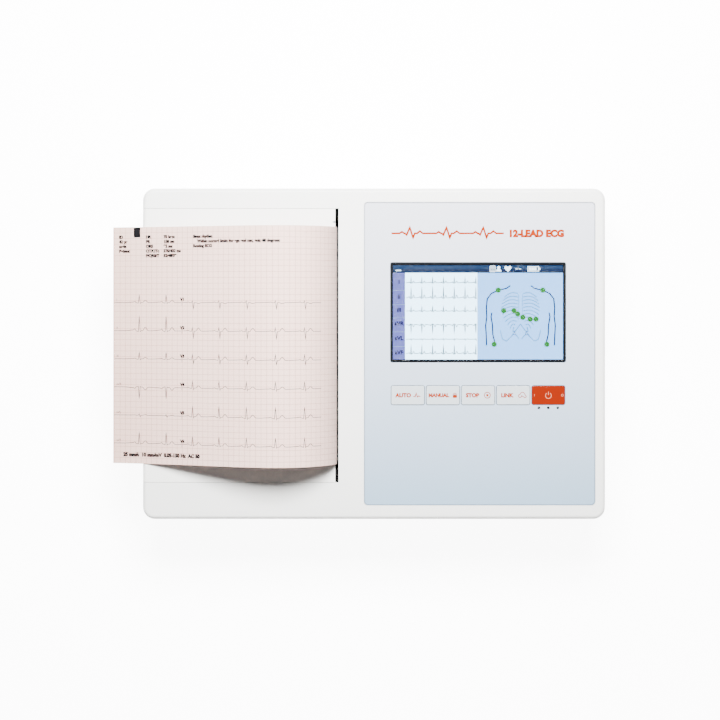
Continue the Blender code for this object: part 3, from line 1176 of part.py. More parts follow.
def make_sockets():
    face = SOCKET_WALL_OUTER
    tube_box("lan_jack", LAN_X, LAN_Z, LAN_SIZE, face + 0.001 - LAN_SIZE[2], face + 0.001, "steel",
             (0.008, 0.0035, 0.0062))
    tube_box("usb_jack", USB_X, USB_Z, USB_SIZE, face + 0.001 - USB_SIZE[2], face + 0.001, "steel",
             (0.0115, 0.0004, 0.0022))
    flange = span_box((INLET_X - INLET_FLANGE[0] / 2, INLET_X + INLET_FLANGE[0] / 2),
                      (face + GAP, face + GAP + 0.0018),
                      (INLET_Z - INLET_FLANGE[1] / 2, INLET_Z + INLET_FLANGE[1] / 2))
    inlet = add("power_inlet", flange, "dark_plastic")
    back = face - INLET_DEPTH
    join(inlet, span_box((INLET_X - INLET_CUTOUT[0] / 2, INLET_X + INLET_CUTOUT[0] / 2),
                         (back, face + 0.001),
                         (INLET_Z - INLET_CUTOUT[1] / 2, INLET_Z + INLET_CUTOUT[1] / 2)))
    cut(inlet, span_box((INLET_X - INLET_CAVITY[0] / 2, INLET_X + INLET_CAVITY[0] / 2),
                        (back + 0.002, face + WALL),
                        (INLET_Z - INLET_CAVITY[1] / 2, INLET_Z + INLET_CAVITY[1] / 2)))
    for x, z in ((-0.007, -0.002), (0.007, -0.002), (0, 0.002)):
        join(inlet, span_box((INLET_X + x - 0.001, INLET_X + x + 0.001), (back + 0.001, face - 0.002),
                             (INLET_Z + z - 0.002, INLET_Z + z + 0.002)))
    length, neck, step = GROUND_STUD_LENGTH, GROUND_STUD_NECK, GROUND_STUD_STEP
    profile = [(0, length), (neck, length), (GROUND_STUD_RADIUS, length - 2 * step),
               (GROUND_STUD_RADIUS, length - 6 * step), (neck, length - 7 * step),
               (neck, length - 12 * step), (GROUND_STUD_RADIUS, length - 13 * step),
               (GROUND_STUD_RADIUS, 0), (0, 0)]
    turned("ground_stud", profile, (STUD_X, CASE_REAR - 0.0003 - length, INLET_Z), "brass", axis="Y",
           sides=16)


def make_patient_connector():
    """A 15-way D socket: flange inside the sunk wall, shell through it, two hex posts."""
    wide, tall = PATIENT_SOCKET
    inner = PATIENT_WALL_OUTER - WALL - GAP
    connector = add("patient_connector", span_box((inner - PATIENT_FLANGE, inner),
                                                  (PATIENT_Y - wide / 2, PATIENT_Y + wide / 2),
                                                  (PATIENT_Z - tall / 2, PATIENT_Z + tall / 2)), "steel")
    half_y, half_z = PATIENT_BODY[0] / 2, PATIENT_BODY[1] / 2
    join(connector, span_box((inner - PATIENT_DEPTH, inner - PATIENT_FLANGE / 2),
                             (PATIENT_Y - half_y, PATIENT_Y + half_y),
                             (PATIENT_Z - half_z, PATIENT_Z + half_z)))
    half_y, half_z = PATIENT_SHELL[0] / 2, PATIENT_SHELL[1] / 2
    shell = span_box((inner - PATIENT_FLANGE / 2, PATIENT_WALL_OUTER + PATIENT_SHELL_REACH),
                     (PATIENT_Y - half_y, PATIENT_Y + half_y),
                     (PATIENT_Z - half_z, PATIENT_Z + half_z))
    join(connector, shell)


# ---- assembly ----
def make_machine():
    make_lower_case()
    make_upper_case()
    make_feet_and_screws()
    make_battery()
    make_panel()
    make_keys()
    make_lights()
    make_keypad_board()
    make_display()
    make_door()
    make_latch()
    make_rails()
    make_platen()
    make_chassis()
    make_motor_train()
    make_head()
    make_tear_bar()
    make_tray()
    make_paper()
    make_electronics()


make_machine()
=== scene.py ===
import json
import math

import bmesh
import bpy
from mathutils import Matrix, Vector


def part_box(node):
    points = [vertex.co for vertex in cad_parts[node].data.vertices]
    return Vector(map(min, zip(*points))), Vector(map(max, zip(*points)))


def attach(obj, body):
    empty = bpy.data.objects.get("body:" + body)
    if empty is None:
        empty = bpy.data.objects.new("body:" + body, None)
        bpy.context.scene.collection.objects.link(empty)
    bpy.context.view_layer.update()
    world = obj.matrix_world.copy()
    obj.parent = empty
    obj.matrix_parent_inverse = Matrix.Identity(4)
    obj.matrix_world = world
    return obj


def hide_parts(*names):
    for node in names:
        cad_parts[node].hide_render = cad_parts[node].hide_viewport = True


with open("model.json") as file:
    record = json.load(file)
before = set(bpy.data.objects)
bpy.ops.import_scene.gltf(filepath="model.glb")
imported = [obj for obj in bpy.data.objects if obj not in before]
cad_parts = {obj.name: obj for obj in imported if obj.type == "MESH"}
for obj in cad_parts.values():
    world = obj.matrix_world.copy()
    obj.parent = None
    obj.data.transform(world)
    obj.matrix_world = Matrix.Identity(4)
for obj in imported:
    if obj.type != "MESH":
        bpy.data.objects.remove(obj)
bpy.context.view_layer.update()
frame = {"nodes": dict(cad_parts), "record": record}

MM = 0.001
NODE_BODY = {node: body for body, nodes in frame["record"]["behaviour"]["bodies"].items()
             for node in nodes}

# ---- places, all taken from the frame ----
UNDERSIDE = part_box("lower_case")[0].z
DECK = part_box("upper_case")[1].z
PAPER_LOW, PAPER_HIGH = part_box("chart_paper")
PANEL_LOW, PANEL_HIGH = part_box("control_panel")
GLASS_LOW, GLASS_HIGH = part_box("display_glass")
DOOR_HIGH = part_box("writer_door")[1]
ROLLER_LOW, ROLLER_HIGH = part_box("platen_sleeve")
ROLLER_X = (ROLLER_LOW.x + ROLLER_HIGH.x) / 2
ROLLER_Z = (ROLLER_LOW.z + ROLLER_HIGH.z) / 2
ROLLER_RADIUS = (ROLLER_HIGH.z - ROLLER_LOW.z) / 2
DOOR_Y = (PAPER_LOW.y + PAPER_HIGH.y) / 2
PAPER_WIDTH = PAPER_HIGH.y - PAPER_LOW.y
KEYS = ("key_auto", "key_manual", "key_stop", "key_link", "key_power")


# ---- mesh helpers ----
def add_object(name, data):
    """An object of this data, put in the scene."""
    made = bpy.data.objects.new(name, data)
    bpy.context.scene.collection.objects.link(made)
    return made


def finished_mesh(piece):
    """A new mesh of the piece as its modifiers leave it."""
    bpy.context.view_layer.update()
    depsgraph = bpy.context.evaluated_depsgraph_get()
    return bpy.data.meshes.new_from_object(piece.evaluated_get(depsgraph))


def to_object(name, bm, material=None):
    """A bmesh as an object at the origin, its place in its mesh."""
    mesh = bpy.data.meshes.new(name)
    bm.to_mesh(mesh)
    bm.free()
    if material:
        mesh.materials.append(material)
    return add_object(name, mesh)


def settle(piece):
    """Apply a piece's modifiers and place, leaving a plain mesh at the origin."""
    mesh = finished_mesh(piece)
    mesh.transform(piece.matrix_world)
    name = piece.name
    plain = add_object(name + "_plain", mesh)
    bpy.data.objects.remove(piece, do_unlink=True)
    plain.name = name
    return plain


def smooth(piece, angle=35):
    piece.data.shade_smooth()
    piece.data.set_sharp_from_angle(angle=math.radians(angle))
    return piece


def ease_edges(piece, width, segments=2):
    """Round the edges a little; the flat faces keep their own shading."""
    piece.data.shade_smooth()
    bevel = piece.modifiers.new("eased", "BEVEL")
    bevel.width = width
    bevel.segments = segments
    bevel.limit_method = "ANGLE"
    bevel.angle_limit = math.radians(40)
    flat = piece.modifiers.new("flat_faces", "WEIGHTED_NORMAL")
    flat.weight = 100
    return settle(piece)


def block(bm, low, high):
    """Add a box to a bmesh."""
    low, high = Vector(low), Vector(high)
    made = bmesh.ops.create_cube(bm, size=1.0)["verts"]
    bmesh.ops.scale(bm, vec=high - low, verts=made)
    bmesh.ops.translate(bm, vec=(high + low) / 2, verts=made)


def rod(bm, start, end, radius, sides):
    """Add a straight bar to a bmesh."""
    start, end = Vector(start), Vector(end)
    turn = (end - start).to_track_quat("Z", "Y").to_matrix().to_4x4()
    place = Matrix.Translation((start + end) / 2) @ turn
    bmesh.ops.create_cone(bm, cap_ends=True, segments=sides, radius1=radius, radius2=radius,
                          depth=(end - start).length, matrix=place)


def turned(name, profile, x, y, steps, material):
    """A profile of (radius, height) pairs spun round an upright axis into a solid."""
    bm = bmesh.new()
    points = [bm.verts.new((x + radius, y, height)) for radius, height in profile]
    edges = [bm.edges.new(pair) for pair in zip(points, points[1:])]
    bmesh.ops.spin(bm, geom=points + edges, cent=(x, y, 0), axis=(0, 0, 1), angle=math.tau,
                   steps=steps, use_merge=True)
    bmesh.ops.remove_doubles(bm, verts=bm.verts, dist=0.000001)
    bmesh.ops.recalc_face_normals(bm, faces=bm.faces)
    return to_object(name, bm, material)


def ride(piece, body, stands_for=()):
    """Hang a piece on the empty of the body it rides on and hide the CAD nodes it replaces."""
    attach(piece, body)
    if stands_for:
        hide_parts(*stands_for)
    return piece


def place_of(node):
    """A CAD solid's low and high corners and its middle."""
    low, high = (Vector(corner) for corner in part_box(node))
    return low, high, (low + high) / 2


# ---- node helpers ----
def feed(node, **values):
    """Give a node's named inputs their values; another node's output is linked to the input."""
    for label, value in values.items():
        socket = node.inputs[label.replace("_", " ")]
        if isinstance(value, bpy.types.NodeSocket):
            node.id_data.links.new(value, socket)
        elif socket.type == "RGBA":
            socket.default_value = (*value, 1.0)
        else:
            socket.default_value = value
    return node


# ---- shader groups shared by several finishes ----
def new_group(name, inputs, outputs):
    """An empty shader group: a vector and the inputs named go in, numbers come out."""
    group = bpy.data.node_groups.new(name, "ShaderNodeTree")
    group.interface.new_socket("Vector", in_out="INPUT", socket_type="NodeSocketVector")
    for label, value in inputs.items():
        kind = "NodeSocketFloat" if isinstance(value, float) else "NodeSocketVector"
        socket = group.interface.new_socket(label, in_out="INPUT", socket_type=kind)
        socket.default_value = value
    for label in outputs:
        group.interface.new_socket(label, in_out="OUTPUT", socket_type="NodeSocketFloat")
    return group, group.nodes.new("NodeGroupInput"), group.nodes.new("NodeGroupOutput")


def math_node(tree, operation, first, second=None, clamp=False):
    node = tree.nodes.new("ShaderNodeMath")
    node.operation = operation
    node.use_clamp = clamp
    for socket, value in zip(node.inputs, (first, second)):
        if value is None:
            continue
        if isinstance(value, (int, float)):
            socket.default_value = value
        else:
            tree.links.new(value, socket)
    return node.outputs[0]


def noise(tree, vector, scale, detail=3.0, roughness=0.5):
    node = tree.nodes.new("ShaderNodeTexNoise")
    feed(node, Vector=vector, Scale=scale, Detail=detail, Roughness=roughness)
    return node.outputs["Fac"]


def grain_group():
    """Moulded or cast grain: a height, and a slow mottle for colour."""
    group, given, out = new_group(
        "fine_grain", {"Grain Scale": 1800.0, "Mottle Scale": 35.0}, ("Height", "Mottle"))
    fine = noise(group, given.outputs["Vector"], given.outputs["Grain Scale"], 2.0)
    slow = noise(group, given.outputs["Vector"], given.outputs["Mottle Scale"], 4.0, 0.6)
    feed(out, Height=fine, Mottle=slow)
    return group


def handling_group():
    """Marks of use: smeared patches where hands rub the surface duller."""
    group, given, out = new_group(
        "handling", {"Scale": 18.0, "Amount": 0.1, "Base": 0.4}, ("Roughness",))
    patches = noise(group, given.outputs["Vector"], given.outputs["Scale"], 5.0, 0.62)
    centred = math_node(group, "SUBTRACT", patches, 0.5)
    scaled = math_node(group, "MULTIPLY", centred, given.outputs["Amount"])
    feed(out, Roughness=math_node(group, "ADD", scaled, given.outputs["Base"], clamp=True))
    return group


FLAT_POINTINESS = 0.515


def wear_group():
    """Rubbed edges: a mask from how sharply the surface turns, broken up by noise."""
    group, given, out = new_group("edge_wear", {"Amount": 0.5}, ("Mask",))
    geometry = group.nodes.new("ShaderNodeNewGeometry")
    sharp = math_node(group, "SUBTRACT", geometry.outputs["Pointiness"], FLAT_POINTINESS)
    raised = math_node(group, "MULTIPLY", sharp, 9.0, clamp=True)
    broken = noise(group, given.outputs["Vector"], 260.0, 4.0)
    mixed = math_node(group, "MULTIPLY", raised, broken)
    feed(out, Mask=math_node(group, "MULTIPLY", mixed, given.outputs["Amount"], clamp=True))
    return group


def brushed_group():
    """Drawn or rolled metal: long fine streaks along one axis."""
    group, given, out = new_group("brushed", {"Stretch": (1.0, 1.0, 1.0)}, ("Height",))
    scale = group.nodes.new("ShaderNodeVectorMath")
    scale.operation = "MULTIPLY"
    group.links.new(given.outputs["Vector"], scale.inputs[0])
    group.links.new(given.outputs["Stretch"], scale.inputs[1])
    feed(out, Height=noise(group, scale.outputs["Vector"], 1.0))
    return group


GRAIN = grain_group()
HANDLING = handling_group()
WEAR = wear_group()
BRUSHED = brushed_group()


def place_group(tree, group, vector, **values):
    """Use one of the shared groups in a finish."""
    node = tree.nodes.new("ShaderNodeGroup")
    node.node_tree = group
    return feed(node, Vector=vector, **values)


def mix_colour(tree, factor, first, second):
    """Blend two colours; each part is a value or another node's output."""
    node = tree.nodes.new("ShaderNodeMix")
    node.data_type = "RGBA"
    for socket, value in zip((node.inputs[0], node.inputs[6], node.inputs[7]),
                             (factor, first, second)):
        if isinstance(value, (int, float)):
            socket.default_value = value
        elif isinstance(value, tuple):
            socket.default_value = (*value, 1.0)
        else:
            tree.links.new(value, socket)
    return node.outputs[2]


def start_material(name):
    """A new material with its node tree, its shader and the piece's own coordinates."""
    made = bpy.data.materials.new(name)
    made.use_nodes = True
    tree = made.node_tree
    shader = tree.nodes["Principled BSDF"]
    place = tree.nodes.new("ShaderNodeTexCoord").outputs["Object"]
    return made, tree, shader, place


def split_axes(tree, vector):
    """The X, Y and Z outputs of a vector."""
    split = tree.nodes.new("ShaderNodeSeparateXYZ")
    return feed(split, Vector=vector).outputs


def darker(colour, share):
    return tuple(part * share for part in colour)


def bump(tree, shader, height, distance):
    """Raise the surface by a height pattern, so many metres deep."""
    node = tree.nodes.new("ShaderNodeBump")
    feed(node, Strength=1.0, Distance=distance, Height=height)
    feed(shader, Normal=node.outputs["Normal"])


def set_gloss(tree, shader, place, roughness, rub, coat=0.0):
    """Gloss that handling has smeared a little, under a clear coat if one is asked for."""
    handled = place_group(tree, HANDLING, place, Amount=rub, Base=roughness)
    feed(shader, Roughness=handled.outputs["Roughness"])
    if coat:
        feed(shader, Coat_Weight=coat, Coat_Roughness=0.06)


def plastic(name, colour, roughness, grain=1800.0, relief=0.00002, mottle=0.97, rub=0.12,
            coat=0.0, worn=0.0):
    """Moulded plastic: fine grain, slight mottle, smeared gloss and, if asked, paler edges."""
    made, tree, shader, place = start_material(name)
    texture = place_group(tree, GRAIN, place, Grain_Scale=grain)
    tone = mix_colour(tree, texture.outputs["Mottle"], darker(colour, mottle), colour)
    if worn:
        mask = place_group(tree, WEAR, place, Amount=worn).outputs["Mask"]
        rubbed = tuple(min(1.0, part * 1.25 + 0.03) for part in colour)
        tone = mix_colour(tree, mask, tone, rubbed)
    feed(shader, Base_Color=tone)
    set_gloss(tree, shader, place, roughness, rub, coat)
    bump(tree, shader, texture.outputs["Height"], relief)
    return made


def metal(name, colour, roughness, stretch=(60.0, 2500.0, 2500.0)):
    """Bare or plated metal with streaks along the way it was drawn or rolled."""
    made, tree, shader, place = start_material(name)
    streaks = place_group(tree, BRUSHED, place, Stretch=stretch).outputs["Height"]
    texture = place_group(tree, GRAIN, place, Mottle_Scale=90.0)
    tone = mix_colour(tree, texture.outputs["Mottle"], darker(colour, 0.85), colour)
    tone = mix_colour(tree, streaks, darker(colour, 0.9), tone)
    feed(shader, Base_Color=tone, Metallic=1.0)
    set_gloss(tree, shader, place, roughness, 0.15)
    bump(tree, shader, streaks, 0.000004)
    return made


def printed(name, colour, roughness=0.4):
    """Ink or paint on a surface, a little uneven in density."""
    made, tree, shader, place = start_material(name)
    texture = place_group(tree, GRAIN, place, Mottle_Scale=300.0)
    tone = mix_colour(tree, texture.outputs["Mottle"], darker(colour, 0.88), colour)
    feed(shader, Base_Color=tone, Roughness=roughness, Specular_IOR_Level=0.08)
    return made


def painted_highlight_film(name, rear, front, y_rear, y_front, roughness):
    """Glossy printed film, its own colour at its front edge, paled towards its rear edge by a painted
    highlight.
    """
    made, tree, shader, place = start_material(name)
    reach = math_node(tree, "SUBTRACT", split_axes(tree, place)["Y"], y_front)
    share = math_node(tree, "DIVIDE", reach, y_rear - y_front)
    texture = place_group(tree, GRAIN, place, Grain_Scale=2600.0)
    feed(shader, Base_Color=mix_colour(tree, share, front, rear))
    set_gloss(tree, shader, place, roughness, 0.05, 0.4)
    bump(tree, shader, texture.outputs["Height"], 0.000002)
    return made


def lit(name, glow):
    """A lit part of the display: it glows, with a faint cell texture."""
    made, tree, shader, place = start_material(name)
    strength = max(glow)
    colour = darker(glow, 1.0 / strength)
    texture = place_group(tree, GRAIN, place, Grain_Scale=2600.0, Mottle_Scale=12.0)
    tone = mix_colour(tree, texture.outputs["Mottle"], darker(colour, 0.94), colour)
    feed(shader, Emission_Color=tone, Emission_Strength=strength, Base_Color=(0.004, 0.005, 0.006),
         Roughness=0.4)
    return made


def circuit_material():
    """Solder mask with traces showing as a faint raised maze."""
    made, tree, shader, place = start_material("solder_mask")
    brick = tree.nodes.new("ShaderNodeTexBrick")
    feed(brick, Vector=place, Scale=180.0, Mortar_Size=0.03, Color1=(0.010, 0.150, 0.065),
         Color2=(0.014, 0.185, 0.080), Mortar=(0.030, 0.300, 0.130))
    feed(shader, Base_Color=brick.outputs["Color"], Roughness=0.32)
    bump(tree, shader, brick.outputs["Fac"], 0.00003)
    return made


def stack_material():
    """Folded paper seen on edge: fine layers one above the other."""
    made, tree, shader, place = start_material("folded_paper")
    waves = tree.nodes.new("ShaderNodeTexWave")
    waves.bands_direction = "Z"
    feed(waves, Vector=place, Scale=900.0, Distortion=1.2)
    tone = mix_colour(tree, waves.outputs["Fac"], (0.62, 0.50, 0.48), (0.90, 0.82, 0.80))
    feed(shader, Base_Color=tone, Roughness=0.8)
    bump(tree, shader, waves.outputs["Fac"], 0.0001)
    return made


PAPER_TONE = (0.90, 0.66, 0.58)
PAPER_SHADE = (0.87, 0.63, 0.55)
# Painted shade colours: where the paper curls out of the slot, and towards its drooping free end.
SLOT_SHADE = (0.16, 0.13, 0.12)
DROOP_SHADE = (0.36, 0.20, 0.14)
GRID_PINK = (0.42, 0.20, 0.16)
GRID_LINES = ((1.0, 0.09, 0.7), (5.0, 0.2, 0.9))


def chart_material(width_mm, length_mm):
    """Coated paper printed with a 1 mm and 5 mm grid, from the sheet's own map.

    The grid lines are given as pitch, half width and strength. Painted shade darkens the paper
    where it curls out of the slot and where its free end droops.
    """
    made, tree, shader, place = start_material("chart_grid")
    maps = tree.nodes.new("ShaderNodeUVMap")
    maps.uv_map = "sheet"
    axes = split_axes(tree, maps.outputs["UV"])
    texture = place_group(tree, GRAIN, place, Grain_Scale=3500.0, Mottle_Scale=25.0)
    tone = mix_colour(tree, texture.outputs["Mottle"], PAPER_SHADE, PAPER_TONE)
    for pitch, half_line, strength in GRID_LINES:
        lines = []
        for axis, size in (("X", width_mm), ("Y", length_mm)):
            steps = math_node(tree, "MULTIPLY", axes[axis], size / pitch)
            part = math_node(tree, "FRACT", math_node(tree, "ADD", steps, 0.5))
            away = math_node(tree, "ABSOLUTE", math_node(tree, "SUBTRACT", part, 0.5))
            lines.append(math_node(tree, "LESS_THAN", away, half_line / pitch))
        mask = math_node(tree, "MAXIMUM", *lines)
        tone = mix_colour(tree, math_node(tree, "MULTIPLY", mask, strength), tone, GRID_PINK)
    # Painted shade: dark where the paper curls out of the slot, milder towards its drooping free end.
    slot_reach_mm, droop_reach_mm, droop_depth = 45.0, 70.0, 0.22
    out = math_node(tree, "SUBTRACT", axes["Y"], SLOT_RUN / length_mm)
    painted_slot_shade = math_node(tree, "MULTIPLY", out, length_mm / slot_reach_mm, clamp=True)
    painted_slot_shade = math_node(tree, "POWER", painted_slot_shade, 0.32)
    tone = mix_colour(tree, painted_slot_shade, SLOT_SHADE, tone)
    end = math_node(tree, "SUBTRACT", 1.0, axes["Y"])
    painted_droop_shade = math_node(tree, "MULTIPLY", end, length_mm / droop_reach_mm, clamp=True)
    painted_droop_shade = math_node(tree, "ADD", math_node(tree, "MULTIPLY", painted_droop_shade, droop_depth), 1 - droop_depth)
    tone = mix_colour(tree, painted_droop_shade, DROOP_SHADE, tone)
    feed(shader, Base_Color=tone, Roughness=0.62, Specular_IOR_Level=0.2)
    bump(tree, shader, texture.outputs["Height"], 0.00001)
    return made


def glass_material():
    """The display window: clear, hard-coated, with faint smears."""
    made, tree, shader, place = start_material("window_glass")
    feed(shader, Base_Color=(0.96, 0.98, 1.0), Transmission_Weight=1.0, IOR=1.45)
    set_gloss(tree, shader, place, 0.0, 0.02)
    return made


def lens_material():
    """The unlit lens of an indicator light."""
    made, tree, shader, place = start_material("light_lens")
    texture = place_group(tree, GRAIN, place, Grain_Scale=2500.0)
    tone = mix_colour(tree, texture.outputs["Mottle"], (0.010, 0.012, 0.013), (0.020, 0.024, 0.025))
    feed(shader, Base_Color=tone, Roughness=0.15, Coat_Weight=0.6)
    return made


CASE_WHITE = plastic("case_white", (0.87, 0.87, 0.84), 0.42, mottle=0.985)
DOOR_WHITE = plastic("door_white", (0.93, 0.92, 0.88), 0.40, mottle=0.985)
# The film's own blue-grey at the front, paled towards the rear by a painted highlight in place of the
# reflected bright rear light.
PANEL_FILM = painted_highlight_film("panel_film", (0.64, 0.655, 0.725), (0.28, 0.40, 0.53),
                         PANEL_HIGH.y, PANEL_LOW.y, 0.12)
KEY_FILM = plastic("key_film", (0.48, 0.53, 0.56), 0.12, grain=2600.0, relief=0.000002, rub=0.05,
                   coat=0.3)
KEY_ORANGE = plastic("key_orange", (0.17, 0.009, 0.0003), 0.12, grain=2400.0, relief=0.000002,
                     rub=0.04)
DARK_PLASTIC = plastic("dark_plastic", (0.012, 0.012, 0.013), 0.45, relief=0.00003, worn=0.15)
TRAY_GREY = plastic("tray_grey", (0.09, 0.095, 0.10), 0.5, grain=1500.0, relief=0.00004, worn=0.15)
RUBBER = plastic("rubber_black", (0.010, 0.010, 0.010), 0.75, grain=2200.0, relief=0.00004,
                 rub=0.1)
PLATEN_RUBBER = plastic("platen_rubber", (0.020, 0.020, 0.022), 0.55, grain=3000.0,
                        relief=0.00001, rub=0.08)
ACETAL = plastic("acetal", (0.72, 0.70, 0.60), 0.36, grain=1200.0, relief=0.00001)
BLACK_ACETAL = plastic("black_acetal", (0.015, 0.015, 0.016), 0.36, grain=1200.0, relief=0.00001)
CERAMIC = plastic("ceramic_glaze", (0.62, 0.60, 0.53), 0.2, grain=2600.0, relief=0.000003)
BATTERY_WRAP = plastic("battery_wrap", (0.010, 0.035, 0.13), 0.3, grain=260.0, relief=0.00008,
                       rub=0.2)
LCD_GREY = plastic("display_frame", (0.04, 0.04, 0.045), 0.4, relief=0.00002)
STEEL = metal("zinc_steel", (0.50, 0.50, 0.50), 0.32)
GROUND_STEEL = metal("ground_steel", (0.55, 0.55, 0.56), 0.2, stretch=(2500.0, 60.0, 2500.0))
DARK_STEEL = metal("blackened_steel", (0.020, 0.020, 0.022), 0.4, stretch=(2500.0, 60.0, 2500.0))
ALUMINIUM = metal("aluminium", (0.66, 0.67, 0.68), 0.34, stretch=(2500.0, 40.0, 2500.0))
BRASS = metal("brass", (0.55, 0.34, 0.10), 0.28, stretch=(2500.0, 300.0, 2500.0))
SPRING_STEEL = metal("spring_steel", (0.42, 0.42, 0.44), 0.26, stretch=(900.0, 900.0, 900.0))
GOLD = metal("gold_plate", (0.75, 0.46, 0.13), 0.25, stretch=(900.0, 900.0, 900.0))
CIRCUIT = circuit_material()
FOLDED_PAPER = stack_material()
GLASS = glass_material()
LENS = lens_material()
INK_BLACK = printed("ink_black", (0.006, 0.006, 0.007))
INK_TRACE = printed("ink_trace", (0.040, 0.034, 0.036))
INK_ORANGE = printed("ink_orange", (0.27, 0.026, 0.0005), 0.15)
INK_GREY = printed("ink_grey", (0.095, 0.125, 0.165), 0.2)
INK_WHITE = printed("ink_white", (0.55, 0.20, 0.12), 0.2)
BORDER_BLACK = printed("border_black", (0.004, 0.005, 0.007), 0.3)
LABEL_SILVER = printed("label_silver", (0.40, 0.41, 0.42), 0.35)


# ---- the CAD solids, merged, eased and given their finish ----
FINISH = {
    "upper_case": (CASE_WHITE, 0.3), "lower_case": (CASE_WHITE, 0.3),
    "writer_door": (DOOR_WHITE, 0.25), "battery_cover": (CASE_WHITE, 0.25),
    "latch_paddle": (DOOR_WHITE, 0.3), "control_panel": (PANEL_FILM, 0.3),
    "lcd_module": (LCD_GREY, 0.2), "lcd_bracket": (ALUMINIUM, 0.2), "keypad_board": (CIRCUIT, 0),
    "main_board": (CIRCUIT, 0), "power_supply": (CIRCUIT, 0), "ecg_module": (CIRCUIT, 0),
    "power_inlet": (DARK_PLASTIC, 0.15), "ground_stud": (BRASS, 0.1), "lan_jack": (STEEL, 0.1),
    "usb_jack": (STEEL, 0.08), "patient_connector": (STEEL, 0.3), "battery_pack": (BATTERY_WRAP, 0),
    "paper_tray": (TRAY_GREY, 0.3), "door_rail_front": (ACETAL, 0.3), "door_rail_rear": (ACETAL, 0.3),
    "latch_pin": (GROUND_STEEL, 0.2), "platen_shaft": (GROUND_STEEL, 0.3),
    "platen_sleeve": (PLATEN_RUBBER, 0.3), "platen_bush_front": (BRASS, 0.1),
    "platen_bush_rear": (BRASS, 0.1), "platen_gear": (BLACK_ACETAL, 0.08), "idler_gear": (ACETAL, 0.08),
    "motor_pinion": (ACETAL, 0.08), "print_head": (CERAMIC, 0.15), "head_bracket": (ALUMINIUM, 0.3),
    "head_pivot": (GROUND_STEEL, 0.2), "tear_bar": (DARK_STEEL, 0),
    "printer_chassis": (STEEL, 0.15), "stepper_motor": (STEEL, 0.4), "motor_shaft": (GROUND_STEEL, 0.1),
    "mark_sensor": (DARK_PLASTIC, 0.3), "indicator_mains": (LENS, 0.15),
    "indicator_battery": (LENS, 0.15), "indicator_charge": (LENS, 0.15),
}


def merged_copy(node):
    """A CAD solid's mesh with its loose triangles joined and its flat faces whole."""
    bm = bmesh.new()
    bm.from_mesh(frame["nodes"][node].data)
    bmesh.ops.remove_doubles(bm, verts=bm.verts, dist=0.000002)
    bmesh.ops.dissolve_limit(bm, angle_limit=math.radians(0.8), verts=bm.verts, edges=bm.edges)
    return bm


def refine(node, material, edge_mm):
    """Put a finished piece in the place of a CAD solid, its edges rounded by so many mm."""
    piece = to_object(node + "_finished", merged_copy(node), material)
    piece = ease_edges(piece, edge_mm * MM) if edge_mm else smooth(piece)
    return ride(piece, NODE_BODY[node], stands_for=[node])


for node, (material, edge_mm) in FINISH.items():
    refine(node, material, edge_mm)


# ---- lines and letters laid on a surface ----
INK_THICKNESS = 0.00003


def flat_at(height):
    """Maps plan millimetres to a level surface."""
    return lambda x, y, lift: Vector((x * MM, y * MM, height + lift))


def plan_mm(corner):
    """A corner's plan place in millimetres."""
    return corner.x / MM, corner.y / MM


def ribbon(bm, points, width, place, step=2.0, closed=False):
    """A thin printed line of constant width along points, in the millimetres of the surface."""
    path = [Vector(p) for p in points]
    if closed:
        path.append(path[0].copy())
    fine = [path[0]]
    for first, second in zip(path, path[1:]):
        count = max(1, math.ceil((second - first).length / step))
        fine += [first.lerp(second, k / count) for k in range(1, count + 1)]
    rows = []
    for index, here in enumerate(fine):
        before = fine[index - 1] if index else (fine[-2] if closed else here)
        after = fine[index + 1] if index + 1 < len(fine) else (fine[1] if closed else here)
        into, out = here - before, after - here
        into = into.normalized() if into.length > 1e-9 else out.normalized()
        out = out.normalized() if out.length > 1e-9 else into
        normal = Vector((-(into + out).y, (into + out).x))
        normal = normal.normalized() if normal.length > 1e-6 else Vector((-into.y, into.x))
        reach = width / 2 / max(0.5, normal.dot(Vector((-into.y, into.x))))
        rows.append((here + normal * reach, here - normal * reach))
    rings = []
    for left, right in rows:
        corners = ((left, INK_THICKNESS), (right, INK_THICKNESS), (right, 0.0), (left, 0.0))
        rings.append([bm.verts.new(place(point.x, point.y, lift)) for point, lift in corners])
    for first, second in zip(rings, rings[1:]):
        for k in range(4):
            j = (k + 1) % 4
            bm.faces.new((first[k], first[j], second[j], second[k]))
    bm.faces.new(rings[0][::-1])
    bm.faces.new(rings[-1])


def patch(bm, points, place, thickness=INK_THICKNESS):
    """A flat filled shape with a small thickness."""
    upper = [bm.verts.new(place(x, y, thickness)) for x, y in points]
    lower = [bm.verts.new(place(x, y, 0.0)) for x, y in points]
    bm.faces.new(upper)
    bm.faces.new(lower[::-1])
    count = len(points)
    for k in range(count):
        j = (k + 1) % count
        bm.faces.new((upper[j], upper[k], lower[k], lower[j]))


def rectangle(x0, y0, x1, y1):
    return [(x0, y0), (x1, y0), (x1, y1), (x0, y1)]


def rounded(x0, y0, x1, y1, radius):
    """A rectangle with round corners."""
    return (circle(x1 - radius, y0 + radius, radius, 4, -90, 90)
            + circle(x1 - radius, y1 - radius, radius, 4, 0, 90)
            + circle(x0 + radius, y1 - radius, radius, 4, 90, 90)
            + circle(x0 + radius, y0 + radius, radius, 4, 180, 90))


def circle(x, y, radius, steps=20, start=0.0, sweep=360.0):
    """A circle's points, or an arc's if it sweeps less than a full turn."""
    count = steps if sweep == 360.0 else steps + 1
    angles = [math.radians(start + sweep * k / steps) for k in range(count)]
    return [(x + radius * math.cos(a), y + radius * math.sin(a)) for a in angles]


CAP_SHARE = 0.7


